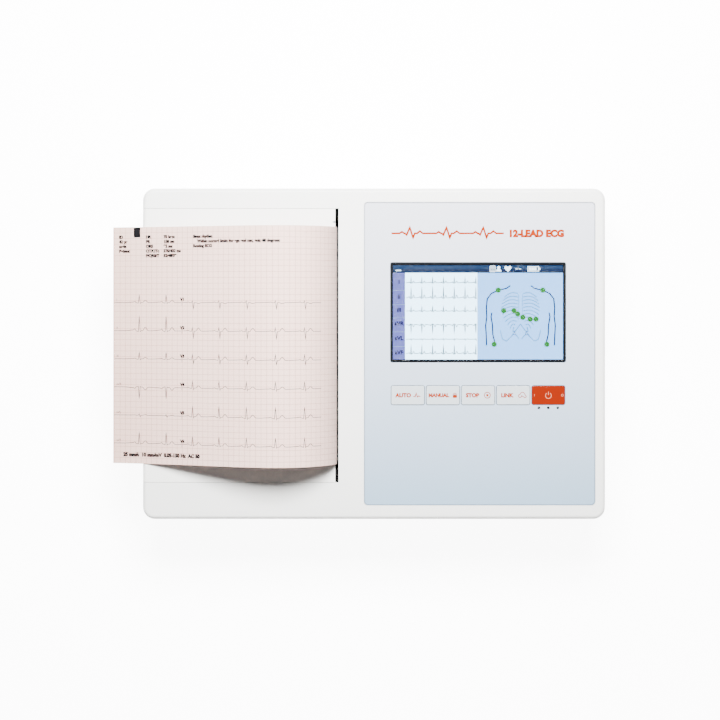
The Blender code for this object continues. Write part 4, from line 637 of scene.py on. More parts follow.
def letters(bm, words, x, y, height, place, align="LEFT", weight=0.0):
    """Plain lettering as thin solids, its cap height given in millimetres."""
    curve = bpy.data.curves.new("words", "FONT")
    curve.body = words
    curve.size = height / CAP_SHARE
    curve.align_x = align
    curve.offset = weight
    curve.resolution_u = 3
    holder = add_object("words", curve)
    flat = finished_mesh(holder)
    bpy.data.objects.remove(holder)
    glyphs = bmesh.new()
    glyphs.from_mesh(flat)
    bmesh.ops.remove_doubles(glyphs, verts=glyphs.verts, dist=0.0005)
    bmesh.ops.triangulate(glyphs, faces=glyphs.faces)
    upper, lower = {}, {}
    for vert in glyphs.verts:
        upper[vert] = bm.verts.new(place(x + vert.co.x, y + vert.co.y, INK_THICKNESS))
        lower[vert] = bm.verts.new(place(x + vert.co.x, y + vert.co.y, 0.0))
    for face in glyphs.faces:
        corners = list(face.verts)
        if face.normal.z < 0:
            corners.reverse()
        bm.faces.new([upper[v] for v in corners])
        bm.faces.new([lower[v] for v in reversed(corners)])
        for k in range(3):
            a, b = corners[k], corners[(k + 1) % 3]
            edge = glyphs.edges.get((a, b))
            if len(edge.link_faces) == 1:
                bm.faces.new((upper[b], upper[a], lower[a], lower[b]))
    glyphs.free()
    bpy.data.meshes.remove(flat)


def ink_piece(name, bm, material, body):
    """Turn printed lines and shapes into one riding piece."""
    bmesh.ops.recalc_face_normals(bm, faces=bm.faces)
    return ride(to_object(name, bm, material), body)


# ---- the heart's trace, shared by the display and the chart ----
# Heights of the R spike, P wave, T wave and S dip in each lead.
LEADS = {"I": (0.8, 0.12, 0.22, -0.08), "II": (1.5, 0.18, 0.34, -0.10),
         "III": (0.7, 0.08, 0.14, -0.10), "aVR": (-1.15, -0.14, -0.26, 0.06),
         "aVL": (0.12, 0.03, 0.06, -0.16), "aVF": (1.15, 0.14, 0.26, -0.10),
         "V1": (0.25, 0.08, -0.10, -0.85), "V2": (0.6, 0.10, 0.45, -1.15),
         "V3": (0.95, 0.10, 0.50, -0.75), "V4": (1.45, 0.12, 0.45, -0.40),
         "V5": (1.35, 0.12, 0.36, -0.22), "V6": (1.05, 0.12, 0.30, -0.12)}
LIMB_LEADS = ("I", "II", "III", "aVR", "aVL", "aVF")


def beat_points(lead, x, y, pitch, gain):
    """One beat: P wave, QRS spikes and T wave about a baseline, centred on x."""
    spike, p_wave, t_wave, s_wave = LEADS[lead]
    points = [(-0.50, 0.0)]
    points += [(-0.22 + 0.10 * k / 6, p_wave * math.sin(math.pi * k / 6)) for k in range(1, 7)]
    points += [(-0.035, -0.06 * spike), (0.0, spike), (0.035, s_wave), (0.065, 0.0), (0.13, 0.0)]
    points += [(0.13 + 0.19 * k / 8, t_wave * math.sin(math.pi * k / 8) ** 1.3) for k in range(1, 8)]
    points += [(0.33, 0.0)]
    return [(x + u * pitch, y + v * gain) for u, v in points]


def trace(lead, first, count, y, pitch, gain, start, stop):
    """Several beats joined by baseline, clipped to where the trace starts and stops."""
    points = [(start, y)]
    for number in range(count):
        points += [p for p in beat_points(lead, first + number * pitch, y, pitch, gain)
                   if start < p[0] < stop]
    points.append((stop, y))
    return points


# ---- the printed strip ----
SHEET_THICKNESS = 0.00025
ROLLER_GAP = 0.0003
PRINTED_WALL = 0.00018
PRINT_HEIGHT = 0.000105


def cubic(start, handle_a, handle_b, end, steps):
    """Points along a smooth curve drawn between two ends with two handles."""
    made = []
    for step in range(steps + 1):
        t = step / steps
        weights = ((1 - t) ** 3, 3 * t * (1 - t) ** 2, 3 * t * t * (1 - t), t ** 3)
        pulls = list(zip(weights, (start, handle_a, handle_b, end)))
        made.append(Vector([sum(weight * point[k] for weight, point in pulls) for k in (0, 1)]))
    return made


def strip_path():
    """The strip's side view: round under the roller, up the slot and over the arch."""
    turn = ROLLER_RADIUS + ROLLER_GAP + SHEET_THICKNESS / 2
    slot_x = ROLLER_X + turn
    tail_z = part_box("paper_tray")[1].z + 0.0035
    path = [Vector((ROLLER_X - back, tail_z + rise))
            for back, rise in ((0.060, 0.0), (0.045, 0.00035), (0.030, 0.0007), (0.012, 0.0015))]
    path += [Vector(point) for point in circle(ROLLER_X, ROLLER_Z, turn, 12, -100, 100)]
    end = (PAPER_LOW.x + SHEET_THICKNESS * 0.1, DECK - 0.0068)
    peak = (slot_x - 0.0503, DECK + 0.0382)
    rise = cubic((slot_x, DECK), (slot_x, DECK + 0.016), (peak[0] + 0.024, peak[1]), peak, 30)
    fall = cubic(peak, (peak[0] - 0.038, peak[1]), (end[0] + 0.0653, end[1] + 0.0123), end, 44)
    return path, rise + fall[1:]


STRIP_INSIDE, STRIP_OUTSIDE = strip_path()
STRIP = STRIP_INSIDE + STRIP_OUTSIDE


def run_lengths(path):
    """How far along the path each of its points lies."""
    total = [0.0]
    for first, second in zip(path, path[1:]):
        total.append(total[-1] + (second - first).length)
    return total


STRIP_RUN = run_lengths(STRIP)
FREE_END = STRIP_RUN[-1] / MM
SLOT_RUN = STRIP_RUN[len(STRIP_INSIDE)] / MM


def on_strip(x, y, lift):
    """x millimetres from the strip's free end towards the slot, y across, on its printed face."""
    run = (FREE_END - x) * MM
    index = max(k for k in range(len(STRIP_RUN) - 1) if STRIP_RUN[k] <= run + 1e-9)
    first, second = STRIP[index], STRIP[index + 1]
    share = (run - STRIP_RUN[index]) / (STRIP_RUN[index + 1] - STRIP_RUN[index])
    here = first.lerp(second, share)
    along = (second - first).normalized()
    face = Vector((along.y, -along.x))
    here = here + face * (PRINT_HEIGHT + lift)
    return Vector((here.x, DOOR_Y + y * MM, here.y))


def make_strip():
    """The paper itself, from the stack round the roller to its free end, with the grid on it."""
    columns = 24
    bm = bmesh.new()
    layer = bm.loops.layers.uv.new("sheet")
    rows = []
    for index, point in enumerate(STRIP):
        row = []
        for column in range(columns + 1):
            across = column / columns
            y = PAPER_LOW.y + PAPER_WIDTH * across
            row.append((bm.verts.new((point.x, y, point.y)), across, STRIP_RUN[index] / STRIP_RUN[-1]))
        rows.append(row)
    for first, second in zip(rows, rows[1:]):
        for k in range(columns):
            corners = (first[k], first[k + 1], second[k + 1], second[k])
            face = bm.faces.new([corner[0] for corner in corners])
            for loop, corner in zip(face.loops, corners):
                loop[layer].uv = (corner[1], corner[2])
    bmesh.ops.recalc_face_normals(bm, faces=bm.faces)
    strip = to_object("printed_strip", bm, chart_material(PAPER_WIDTH / MM, FREE_END))
    wall = strip.modifiers.new("thickness", "SOLIDIFY")
    wall.thickness = PRINTED_WALL
    wall.offset = 0
    strip = smooth(settle(strip), 60)
    ride(strip, "door", ["chart_paper"])


def make_chart_print():
    """Traces, labels, the heading and the cue mark, all in the strip's own millimetres."""
    marks, traces = bmesh.new(), bmesh.new()
    first_beat, beat_pitch, beats = 24.6, 25.9, 7
    top_row, row_pitch = 38.0, 25.0
    split = 66.0
    stop = FREE_END - SLOT_RUN - 27.0
    chest_gains = (7.0, 6.0, 5.5, 4.5, 7.0, 7.5)
    for number, limb in enumerate(LIMB_LEADS):
        chest = f"V{number + 1}"
        y = top_row - row_pitch * number
        for lead, gain, begin, end in ((limb, 9.0, 0.4, split - 0.4),
                                       (chest, chest_gains[number], split + 0.4, stop)):
            points = trace(lead, first_beat, beats, y, beat_pitch, gain, begin, end)
            ribbon(traces, points, 0.5, on_strip)
        letters(marks, limb, 3.0, y + 1.6, 2.0, on_strip)
        letters(marks, chest, split - 1.6, y + 1.7, 2.5, on_strip, weight=0.3)
        ribbon(marks, [(split, y - 2.5), (split, y + 2.5)], 0.3, on_strip)
    patch(marks, rectangle(19.4, 95.9, 25.6, 104.7), on_strip)
    heading_top, line_pitch = 95.0, 4.15
    heading = ((5.5, ("ID    ", "42 yr", "male", "Patient")),
               (31.0, ("HR", "PR", "QRS", "QT/QTc", "P/QRS/T")),
               (48.1, ("75 bpm", "158 ms", "92 ms", "376/402 ms", "52/48/39")),
               (77.0, ("Sinus rhythm", "    Within normal limits for age and sex, axis 48 degrees",
                       "Resting ECG")))
    for x, lines in heading:
        for number, words in enumerate(lines):
            y = heading_top - line_pitch * number
            letters(marks, words, x, y, 2.5, on_strip, weight=0.3)
    footer = "25 mm/s  10 mm/mV  0.05-150 Hz  AC 50"
    letters(marks, footer, 9.5, -98.4, 3.0, on_strip, weight=0.36)
    ink_piece("chart_print", marks, INK_BLACK, "door")
    ink_piece("chart_traces", traces, INK_TRACE, "door")


make_strip()
make_chart_print()
ride(smooth(to_object("paper_pad", merged_copy("paper_stack"), FOLDED_PAPER)), "case",
     stands_for=["paper_stack"])


# ---- keys ----
KEY_LEGENDS = {
    # key: word, its left margin, its height, how far its icon stands from the right margin
    "key_auto": ("AUTO", 3.2, 3.4, 6.0), "key_manual": ("MANUAL", 1.2, 3.1, 3.4),
    "key_stop": ("STOP", 3.2, 3.4, 5.8), "key_link": ("LINK", 3.2, 3.4, 5.8)}
KEY_MARGIN = 1.3


def draw_power_symbol(bm, x, y, left, right, place):
    """The power sign between a dash for on and a ring for off."""
    ribbon(bm, circle(x, y - 0.3, 2.6, 24, 125, 290), 0.55, place, 1.0)
    ribbon(bm, [(x, y + 0.2), (x, y + 3.1)], 0.55, place)
    ribbon(bm, [(left + 1.6, y - 1.0), (left + 1.6, y + 1.0)], 0.35, place)
    ribbon(bm, circle(right - 1.6, y, 1.0, 12), 0.35, place, 1.0, True)


def draw_beat_icon(bm, x, y, place):
    beat = [(-3.2, -1.2), (-1.5, -1.2), (-0.6, 2.0), (0.6, -1.6), (1.5, -0.6), (3.2, -1.2)]
    ribbon(bm, [(x + across, y + up) for across, up in beat], 0.75, place)


def draw_hand_icon(bm, x, y, place):
    for finger, tip in enumerate((1.6, 2.1, 2.1, 1.6)):
        ribbon(bm, [(x - 1.5 + finger, y - 0.4), (x - 1.5 + finger, y + tip)], 0.55, place)
    patch(bm, rounded(x - 1.9, y - 2.4, x + 1.9, y + 0.1, 0.8), place)


def draw_stop_icon(bm, x, y, place):
    ribbon(bm, circle(x, y, 2.6, 24), 0.7, place, 1.0, True)
    patch(bm, rectangle(x - 1.0, y - 1.0, x + 1.0, y + 1.0), place)


def draw_cloud_icon(bm, x, y, place):
    cloud = circle(x + 2.0, y - 0.6, 1.5, 7, -90, 70) + circle(x, y + 0.6, 2.0, 9, 10, 160)
    cloud += circle(x - 2.2, y - 0.7, 1.4, 7, 100, 270)
    ribbon(bm, cloud, 0.65, place, 1.0, True)


KEY_ICONS = {"key_auto": draw_beat_icon, "key_manual": draw_hand_icon,
             "key_stop": draw_stop_icon, "key_link": draw_cloud_icon}


def make_key(node):
    """A cap with eased edges and its legend, riding on its own body."""
    refine(node, KEY_ORANGE if node == "key_power" else KEY_FILM, 0.25)
    low, high, middle = place_of(node)
    x, y = plan_mm(middle)
    place = flat_at(high.z)
    left, right = low.x / MM + KEY_MARGIN, high.x / MM - KEY_MARGIN
    bm = bmesh.new()
    if node == "key_power":
        draw_power_symbol(bm, x, y, left, right, place)
        ink_piece(node + "_symbol", bm, INK_WHITE, NODE_BODY[node])
        return
    words, margin, height, icon_back = KEY_LEGENDS[node]
    letters(bm, words, left + margin, y - height / 2, height, place, weight=0.3)
    KEY_ICONS[node](bm, right - icon_back, y, place)
    ink_piece(node + "_legend", bm, INK_ORANGE, NODE_BODY[node])


for key in KEYS:
    make_key(key)


# ---- panel print: a pulse line, a caption, key outlines, the panel's edge and the window frame ----
# Along the line and up from it, one beat of the pulse line.
PULSE_BEAT = ((-9, 0), (-7, 1.4), (-5, 0), (-4.2, 0), (-2.8, -1.4), (0, 5.4), (2.9, -4.2), (4.4, 0),
              (6.5, 0), (9, 2.0), (11.5, 0))
CAPTION_ROOM = 54.0


def inset_outline(low, high, inset, radius):
    """A rounded outline so far inside a box, in plan."""
    x0, y0 = plan_mm(low)
    x1, y1 = plan_mm(high)
    return rounded(x0 + inset, y0 + inset, x1 - inset, y1 - inset, radius)


def make_panel_print():
    place = flat_at(PANEL_HIGH.z)
    bm = bmesh.new()
    x0, x1 = GLASS_LOW.x / MM, GLASS_HIGH.x / MM
    y = PANEL_HIGH.y / MM - 27.6
    span = (x1 - x0 - CAPTION_ROOM - 2.0) / 3
    line = [(x0, y)]
    for number in range(3):
        x = x0 + span * (number + 0.5)
        line += [(x + along, y + up) for along, up in PULSE_BEAT]
    line.append((x1 - CAPTION_ROOM, y))
    ribbon(bm, line, 1.6, place)
    letters(bm, "12-LEAD ECG", x1 - 0.6, y - 2.9, 5.8, place, "RIGHT", 0.62)
    ink_piece("panel_pulse_line", bm, INK_ORANGE, "case")
    bm = bmesh.new()
    for key in KEYS:
        ribbon(bm, inset_outline(*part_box(key), 0.35, 1.8), 0.5, place, 3.0, True)
    ribbon(bm, inset_outline(PANEL_LOW, PANEL_HIGH, 0.5, 3.0), 0.35, place, 6.0, True)
    ink_piece("key_outlines", bm, INK_GREY, "case")
    bm = bmesh.new()
    above_edge = flat_at(PANEL_HIGH.z + 0.00004)
    ribbon(bm, inset_outline(GLASS_LOW, GLASS_HIGH, -0.3, 1.0), 1.7, above_edge, 8.0, True)
    ink_piece("window_frame_print", bm, BORDER_BLACK, "case")


make_panel_print()


# ---- the display's picture, under the window ----
SIDE_BORDER, END_BORDER = 1.4, 1.5
SCREEN_LEFT, SCREEN_BOTTOM = GLASS_LOW.x / MM + SIDE_BORDER, GLASS_LOW.y / MM + END_BORDER
SCREEN_WIDE = (GLASS_HIGH.x - GLASS_LOW.x) / MM - 2 * SIDE_BORDER
SCREEN_TALL = (GLASS_HIGH.y - GLASS_LOW.y) / MM - 2 * END_BORDER
SCREEN_Z = GLASS_LOW.z - 0.0009
LAYER_STEP = 0.00006
STATUS_BOTTOM = SCREEN_TALL - 6.8
LABELS_RIGHT, TRACES_RIGHT = 10.8, 75.2


def on_screen(layer):
    """Maps the display's own millimetres to one of its thin layers."""
    level = SCREEN_Z + layer * LAYER_STEP
    return lambda x, y, lift: Vector(((SCREEN_LEFT + x) * MM, (SCREEN_BOTTOM + y) * MM, level + lift))


def screen_piece(name, bm, glow):
    return ink_piece(name, bm, lit(name + "_light", glow), "case")


GLOW_WHITE = (4.4, 6.6, 8.2)
GLOW_SIDE = (0.90, 2.1, 4.2)
GLOW_LILAC = (0.36, 0.40, 1.35)
GLOW_BAR = (0.004, 0.035, 0.15)
GLOW_BAR_TOP = (0.008, 0.068, 0.24)
GLOW_NAVY = (0.006, 0.018, 0.050)


def make_screen():
    bm = bmesh.new()
    border = rectangle(0.05 - SIDE_BORDER, 0.05 - END_BORDER, SCREEN_WIDE + SIDE_BORDER - 0.05,
                       SCREEN_TALL + END_BORDER - 0.05)
    patch(bm, border, on_screen(-1))
    ink_piece("display_border", bm, BORDER_BLACK, "case")
    for name, layer, box, glow in (
            ("status_bar", 0, (0, STATUS_BOTTOM, SCREEN_WIDE, SCREEN_TALL), GLOW_BAR),
            ("label_column", 0, (0, 0, LABELS_RIGHT, STATUS_BOTTOM), GLOW_LILAC),
            ("trace_area", 0, (LABELS_RIGHT, 0, TRACES_RIGHT, STATUS_BOTTOM), GLOW_WHITE),
            ("body_area", 0, (TRACES_RIGHT, 0, SCREEN_WIDE, STATUS_BOTTOM), GLOW_SIDE),
            ("status_sheen", 1, (0, SCREEN_TALL - 3.4, SCREEN_WIDE, SCREEN_TALL), GLOW_BAR_TOP)):
        bm = bmesh.new()
        patch(bm, rectangle(*box), on_screen(layer))
        screen_piece("display_" + name, bm, glow)
    make_screen_traces()
    make_status_icons()
    make_body_drawing()


def make_screen_traces():
    lines, words = bmesh.new(), bmesh.new()
    for lead, y in zip(LIMB_LEADS, (68.1, 54.7, 42.9, 31.0, 17.9, 5.2)):
        points = trace(lead, 16.1, 7, y, 9.6, 7.2, LABELS_RIGHT + 0.8, TRACES_RIGHT - 0.8)
        ribbon(lines, points, 0.6, on_screen(1), 4.0)
        letters(words, lead, LABELS_RIGHT / 2, y - 0.6, 3.4, on_screen(1), "CENTER", weight=0.22)
    screen_piece("display_traces", lines, (0.09, 0.13, 0.14))
    screen_piece("display_lead_names", words, (0.020, 0.014, 0.13))
    bm = bmesh.new()
    for y in (61.4, 48.8, 37.0, 24.5, 11.5):
        ribbon(bm, [(0, y), (LABELS_RIGHT, y)], 0.2, on_screen(2), 20.0)
    ribbon(bm, [(TRACES_RIGHT, 0), (TRACES_RIGHT, STATUS_BOTTOM)], 0.3, on_screen(2), 20.0)
    screen_piece("display_rules", bm, (0.9, 1.4, 2.6))


def make_status_icons():
    """A page, a person, a heart, two dashes, a battery and a short rule."""
    place = on_screen(2)
    y = STATUS_BOTTOM + 3.5
    bm = bmesh.new()
    ribbon(bm, rounded(86.4, y - 2.5, 90.8, y + 2.5, 0.5), 0.55, place, 2.0, True)
    for up in (-1.2, 0.0, 1.2):
        ribbon(bm, [(87.4, y + up), (89.8, y + up)], 0.45, place)
    patch(bm, circle(94.0, y + 1.2, 1.3, 16), place)
    patch(bm, circle(94.0, y - 2.3, 2.3, 12, 0, 180), place)
    heart = ((102.2, -2.7), (105.0, 0.2), (105.3, 1.5), (104.5, 2.5), (103.3, 2.5), (102.2, 1.4),
             (101.1, 2.5), (99.9, 2.5), (99.1, 1.5), (99.4, 0.2))
    patch(bm, [(x, y + up) for x, up in heart], place)
    for x in (109.0, 112.0):
        ribbon(bm, [(x, y), (x + 1.9, y)], 0.6, place)
    ribbon(bm, rectangle(120.0, y - 2.0, 129.4, y + 2.0), 0.6, place, 3.0, True)
    patch(bm, rectangle(129.8, y - 0.9, 130.9, y + 0.9), place)
    for x in (120.9, 123.2, 125.5):
        patch(bm, rectangle(x, y - 1.3, x + 2.0, y + 1.3), place)
    ribbon(bm, [(2.4, y - 1.4), (7.2, y - 1.4)], 0.8, place)
    screen_piece("display_status_icons", bm, (4.2, 5.2, 6.0))


def ribbon_pair(bm, points, middle, width, place, step):
    """A line and its mirror image about the middle."""
    ribbon(bm, points, width, place, step)
    ribbon(bm, [(2 * middle - x, y) for x, y in points], width, place, step)


def make_body_drawing():
    """A plain chest outline with its electrode places, the same left and right."""
    middle = 113.4
    rib_count, rib_pitch, rib_steps = 13, 3.1, 6
    outer = [(104.4, 65.6), (101.0, 63.2), (93.6, 61.4), (87.4, 58.6), (83.8, 53.6), (83.0, 46.0),
             (83.4, 38.0), (82.4, 30.0), (83.0, 20.0), (83.2, 12.4)]
    inner = [(88.0, 41.6), (87.2, 37.8), (88.4, 31.0), (88.8, 22.0), (90.8, 13.6)]
    bm = bmesh.new()
    for points in (outer, inner):
        ribbon_pair(bm, points, middle, 1.15, on_screen(2), 3.0)
    screen_piece("display_body_outline", bm, GLOW_NAVY)
    bm = bmesh.new()
    for k in range(rib_count):
        y = 58.5 - rib_pitch * k
        reach = 17.0 * math.sin(math.pi * min(1.0, 0.32 + 0.055 * k))
        start = 2.4 + max(0, k - 7) * 1.1
        shares = [step / rib_steps for step in range(rib_steps + 1)]
        rib = [(middle - start - (reach - start) * share,
                y + 1.4 * math.sin(math.pi * share) - 3.2 * share ** 2) for share in shares]
        ribbon_pair(bm, rib, middle, 0.5, on_screen(1), 3.0)
    arch = [(middle, 31.5), (middle - 4.0, 26.0), (middle - 8.5, 20.0), (middle - 12.5, 16.2),
            (middle - 16.0, 18.0), (middle - 18.0, 26.0)]
    ribbon_pair(bm, arch, middle, 0.5, on_screen(1), 2.0)
    ribbon_pair(bm, [(middle - 1.6, 58.0), (middle - 1.6, 35.0)], middle, 0.34, on_screen(1), 4.0)
    screen_piece("display_rib_lines", bm, (0.07, 0.18, 0.45))
    dots = ((93.6, 61.6), (133.2, 61.6), (98.4, 43.4), (107.6, 43.4), (110.9, 40.3), (115.4, 37.4),
            (122.0, 35.8), (127.2, 35.8), (90.0, 13.4), (136.8, 13.4))
    rims, fills = bmesh.new(), bmesh.new()
    for x, y in dots:
        patch(fills, circle(x, y, 2.2, 20), on_screen(3))
        ribbon(rims, circle(x, y, 2.2, 20), 0.5, on_screen(4), 1.0, True)
    screen_piece("display_electrodes", fills, (0.03, 0.50, 0.05))
    screen_piece("display_electrode_rims", rims, (0.16, 0.75, 0.13))


make_screen()
refine("display_glass", GLASS, 0.12)


# ---- geometry node work: springs, contacts, ribs ----
def grown(name, build, sizes, material, place=Matrix.Identity(4)):
    """Run a node tree with named sizes on an empty mesh and keep its result as a plain mesh."""
    tree = bpy.data.node_groups.new(name, "GeometryNodeTree")
    tree.interface.new_socket("Geometry", in_out="OUTPUT", socket_type="NodeSocketGeometry")
    kinds = {int: "NodeSocketInt", float: "NodeSocketFloat", Vector: "NodeSocketVector"}
    for label, value in sizes.items():
        tree.interface.new_socket(label, in_out="INPUT", socket_type=kinds[type(value)])
    given = tree.nodes.new("NodeGroupInput")
    shape = build(tree, given.outputs)
    real = tree.nodes.new("GeometryNodeRealizeInstances")
    paint = tree.nodes.new("GeometryNodeSetMaterial")
    paint.inputs["Material"].default_value = material
    out = tree.nodes.new("NodeGroupOutput")
    feed(real, Geometry=shape)
    feed(paint, Geometry=real.outputs["Geometry"])
    feed(out, Geometry=paint.outputs["Geometry"])
    holder = add_object(name, bpy.data.meshes.new(name))
    modifier = holder.modifiers.new("nodes", "NODES")
    modifier.node_group = tree
    for item in tree.interface.items_tree:
        if item.in_out == "INPUT":
            value = sizes[item.name]
            modifier[item.identifier] = list(value) if isinstance(value, Vector) else value
    holder.matrix_world = place
    piece = settle(holder)
    bpy.data.node_groups.remove(tree)
    return piece


def build_coil(tree, given):
    """A round wire wound into a compression spring along Z."""
    spiral = tree.nodes.new("GeometryNodeCurveSpiral")
    feed(spiral, Resolution=20, Rotations=given["Turns"], Start_Radius=given["Radius"],
         End_Radius=given["Radius"], Height=given["Length"])
    wire = tree.nodes.new("GeometryNodeCurvePrimitiveCircle")
    feed(wire, Resolution=10, Radius=given["Wire"])
    sweep = tree.nodes.new("GeometryNodeCurveToMesh")
    feed(sweep, Curve=spiral.outputs["Curve"], Profile_Curve=wire.outputs["Curve"], Fill_Caps=True)
    return sweep.outputs["Mesh"]


def build_row(tree, given, solid):
    """Copies of one small solid on a row of points."""
    line = tree.nodes.new("GeometryNodeMeshLine")
    feed(line, Count=given["Count"], Offset=given["Step"], Start_Location=given["Start"])
    copies = tree.nodes.new("GeometryNodeInstanceOnPoints")
    feed(copies, Points=line.outputs["Mesh"], Instance=solid)
    return copies.outputs["Instances"]


def build_bars(tree, given):
    cube = feed(tree.nodes.new("GeometryNodeMeshCube"), Size=given["Size"])
    return build_row(tree, given, cube.outputs["Mesh"])


def build_pins(tree, given):
    pin = tree.nodes.new("GeometryNodeMeshCylinder")
    feed(pin, Vertices=14, Radius=given["Radius"], Depth=given["Depth"])
    return build_row(tree, given, pin.outputs["Mesh"])


def make_spring(node, turns, wire):
    """A wound spring that fills the place of the CAD one, along X."""
    low, high, middle = place_of(node)
    radius = (high.z - low.z) / 2 - wire
    start = Vector((low.x + wire, middle.y, middle.z))
    turn = Matrix.Translation(start) @ Matrix.Rotation(math.pi / 2, 4, "Y")
    sizes = {"Turns": float(turns), "Radius": radius, "Length": high.x - low.x - 2 * wire, "Wire": wire}
    spring = grown(node + "_wound", build_coil, sizes, SPRING_STEEL, turn)
    ride(smooth(spring, 50), NODE_BODY[node], stands_for=[node])


make_spring("latch_spring", 6, 0.0003)
make_spring("head_spring_front", 4, 0.0004)
make_spring("head_spring_rear", 4, 0.0004)


def bar_row(name, count, start, step, size, material, body):
    """A row of small bars with eased edges."""
    sizes = {"Count": count, "Start": Vector(start), "Step": Vector(step), "Size": Vector(size)}
    return ride(ease_edges(grown(name, build_bars, sizes, material), min(size) * 0.2, 1), body)


def pin_row(name, count, start, step, radius, depth, turn, material, body):
    """Round pins pointing along the turned Z axis; start and step are in that turned frame."""
    sizes = {"Count": count, "Start": Vector(start), "Step": Vector(step), "Radius": radius,
             "Depth": depth}
    return ride(smooth(grown(name, build_pins, sizes, material, turn), 50), body)


# ---- feet and screws ----
def make_foot(number):
    """A rubber foot with a hollow in its sole and soft edges."""
    low, high, middle = place_of(f"foot_{number}")
    radius, height = (high.x - low.x) / 2, high.z
    profile = [(0, 0.0004), (radius * 0.55, 0.0004), (radius * 0.60, 0), (radius * 0.92, 0),
               (radius * 0.98, 0.0003), (radius, 0.0010), (radius, height - 0.0004),
               (radius - 0.0003, height), (0, height)]
    foot = turned(f"foot_{number}_rubber", profile, middle.x, middle.y, 40, RUBBER)
    ride(smooth(foot, 40), "case", stands_for=[f"foot_{number}"])


THREAD_PITCH = 0.0006


def make_screw(node):
    """A pan-head screw with a cross recess, head down."""
    low, high, middle = place_of(node)
    cx, cy = middle.x, middle.y
    head = (high.x - low.x) / 2
    height = 0.0018 if "case" in node else 0.00108
    shank, root = head * 0.53, head * 0.53 * 0.84
    profile = [(0, low.z), (head * 0.72, low.z), (head * 0.92, low.z + height * 0.22),
               (head, low.z + height * 0.6), (head, low.z + height), (shank, low.z + height)]
    z = low.z + height + THREAD_PITCH
    while z < high.z - 2 * THREAD_PITCH:
        profile += [(root, z), (shank, z + THREAD_PITCH / 2)]
        z += THREAD_PITCH
    profile += [(root, z), (shank * 0.3, high.z - 0.0001), (0, high.z)]
    screw = turned(node + "_threaded", profile, cx, cy, 20, STEEL)
    cross = bmesh.new()
    for wide, deep in ((head * 1.0, head * 0.2), (head * 0.2, head * 1.0)):
        block(cross, (cx - wide / 2, cy - deep / 2, low.z - 0.001),
              (cx + wide / 2, cy + deep / 2, low.z + height * 0.55))
    cutter = to_object("cross_recess", cross)
    recess = screw.modifiers.new("recess", "BOOLEAN")
    recess.operation = "DIFFERENCE"
    recess.use_self = True
    recess.object = cutter
    screw = smooth(settle(screw), 30)
    bpy.data.objects.remove(cutter, do_unlink=True)
    ride(screw, "case", stands_for=[node])


for number in range(1, 5):
    make_foot(number)
    make_screw(f"case_screw_{number}")
make_screw("battery_cover_screw")


# ---- small fittings that only show from the sides, the back and below ----
def make_socket_details():
    """Contacts and lock posts in the patient, network and USB sockets."""
    low, high, middle = place_of("patient_connector")
    face, cy, cz = high.x, middle.y, middle.z
    bm = bmesh.new()
    block(bm, (face - 0.0004, cy - 0.0108, cz - 0.0030), (face + 0.0001, cy + 0.0108, cz + 0.0030))
    ride(ease_edges(to_object("patient_socket_insert", bm, DARK_PLASTIC), 0.0006, 2), "case")
    turn = Matrix.Translation((face + 0.00012, cy, cz)) @ Matrix.Rotation(math.pi / 2, 4, "Y")
    pitch = 0.00274
    for count, row in ((8, -0.0013), (7, 0.0013)):
        start = (row, -pitch * (count - 1) / 2, 0.0)
        pin_row(f"patient_contacts_{count}", count, start, (0, pitch, 0), 0.0006, 0.0002, turn, GOLD,
                "case")
    bm = bmesh.new()
    for y in (cy - 0.0165, cy + 0.0165):
        rod(bm, (face - 0.008, y, cz), (face - 0.0005, y, cz), 0.0026, 6)
    ride(ease_edges(to_object("patient_socket_posts", bm, STEEL), 0.0003, 1), "case")
    low, high, middle = place_of("lan_jack")
    start = (middle.x - 0.00357, high.y - 0.008, low.z + 0.0016)
    bar_row("network_contacts", 8, start, (0.00102, 0, 0), (0.0004, 0.008, 0.0004), GOLD, "case")
    low, high, middle = place_of("usb_jack")
    start = (middle.x - 0.00375, high.y - 0.006, middle.z + 0.0002)
    bar_row("usb_contacts", 4, start, (0.0025, 0, 0), (0.0011, 0.007, 0.0003), GOLD, "case")


def below_case(x, y, lift):
    """Maps plan millimetres to the underside, lift reaching down."""
    return Vector((x * MM, y * MM, UNDERSIDE - 0.00002 - lift))


def below_label(x, y, lift):
    """The same, on the face of the rating label."""
    return below_case(x, y, lift + 0.0001)


def make_underside():
    """The rating label with its print, and the battery cover's grip ribs."""
    bm = bmesh.new()
    patch(bm, rounded(70, -60, 150, -20, 2.0)[::-1], below_case, 0.0001)
    ink_piece("rating_label", bm, LABEL_SILVER, "case")
    bm = bmesh.new()
    ribbon(bm, rounded(73, -57, 147, -23, 1.5), 0.5, below_label, 6.0, True)
    letters(bm, "100-240 V~  50/60 Hz", -143, -36, 4.0,
            lambda x, y, lift: below_label(-x, y, lift), weight=0.03)
    ink_piece("rating_print", bm, INK_BLACK, "case")
    low, high, middle = place_of("battery_cover")
    start = (low.x + 0.010, middle.y, low.z - 0.00015)
    bar_row("battery_cover_ribs", 7, start, (0.003, 0, 0), (0.0012, 0.030, 0.0004), CASE_WHITE, "case")


def make_latch_ribs():
    """Grip ribs on the release paddle."""
    low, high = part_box("latch_paddle")
    bar_row("latch_ribs", 3, (low.x - 0.0001, DOOR_Y, high.z - 0.0100), (0, 0, 0.0022),
            (0.0006, 0.026, 0.0008), DOOR_WHITE, "latch")


def make_painted_door_arrow():
    """A small moulded arrowhead by the slot that shows which way the door slides, drawn as a grey patch
    of painted shade.
    """
    bm = bmesh.new()
    x, y = plan_mm(DOOR_HIGH)
    y -= 15.1
    # Painted shade: a grey patch stands in for the relief of the moulded arrowhead.
    patch(bm, [(x - 2.9, y), (x - 0.2, y - 1.1), (x - 0.2, y + 1.1)], flat_at(DECK - 0.00001), 0.00005)
    ink_piece("door_arrow_painted_shade", bm, INK_GREY, "door")


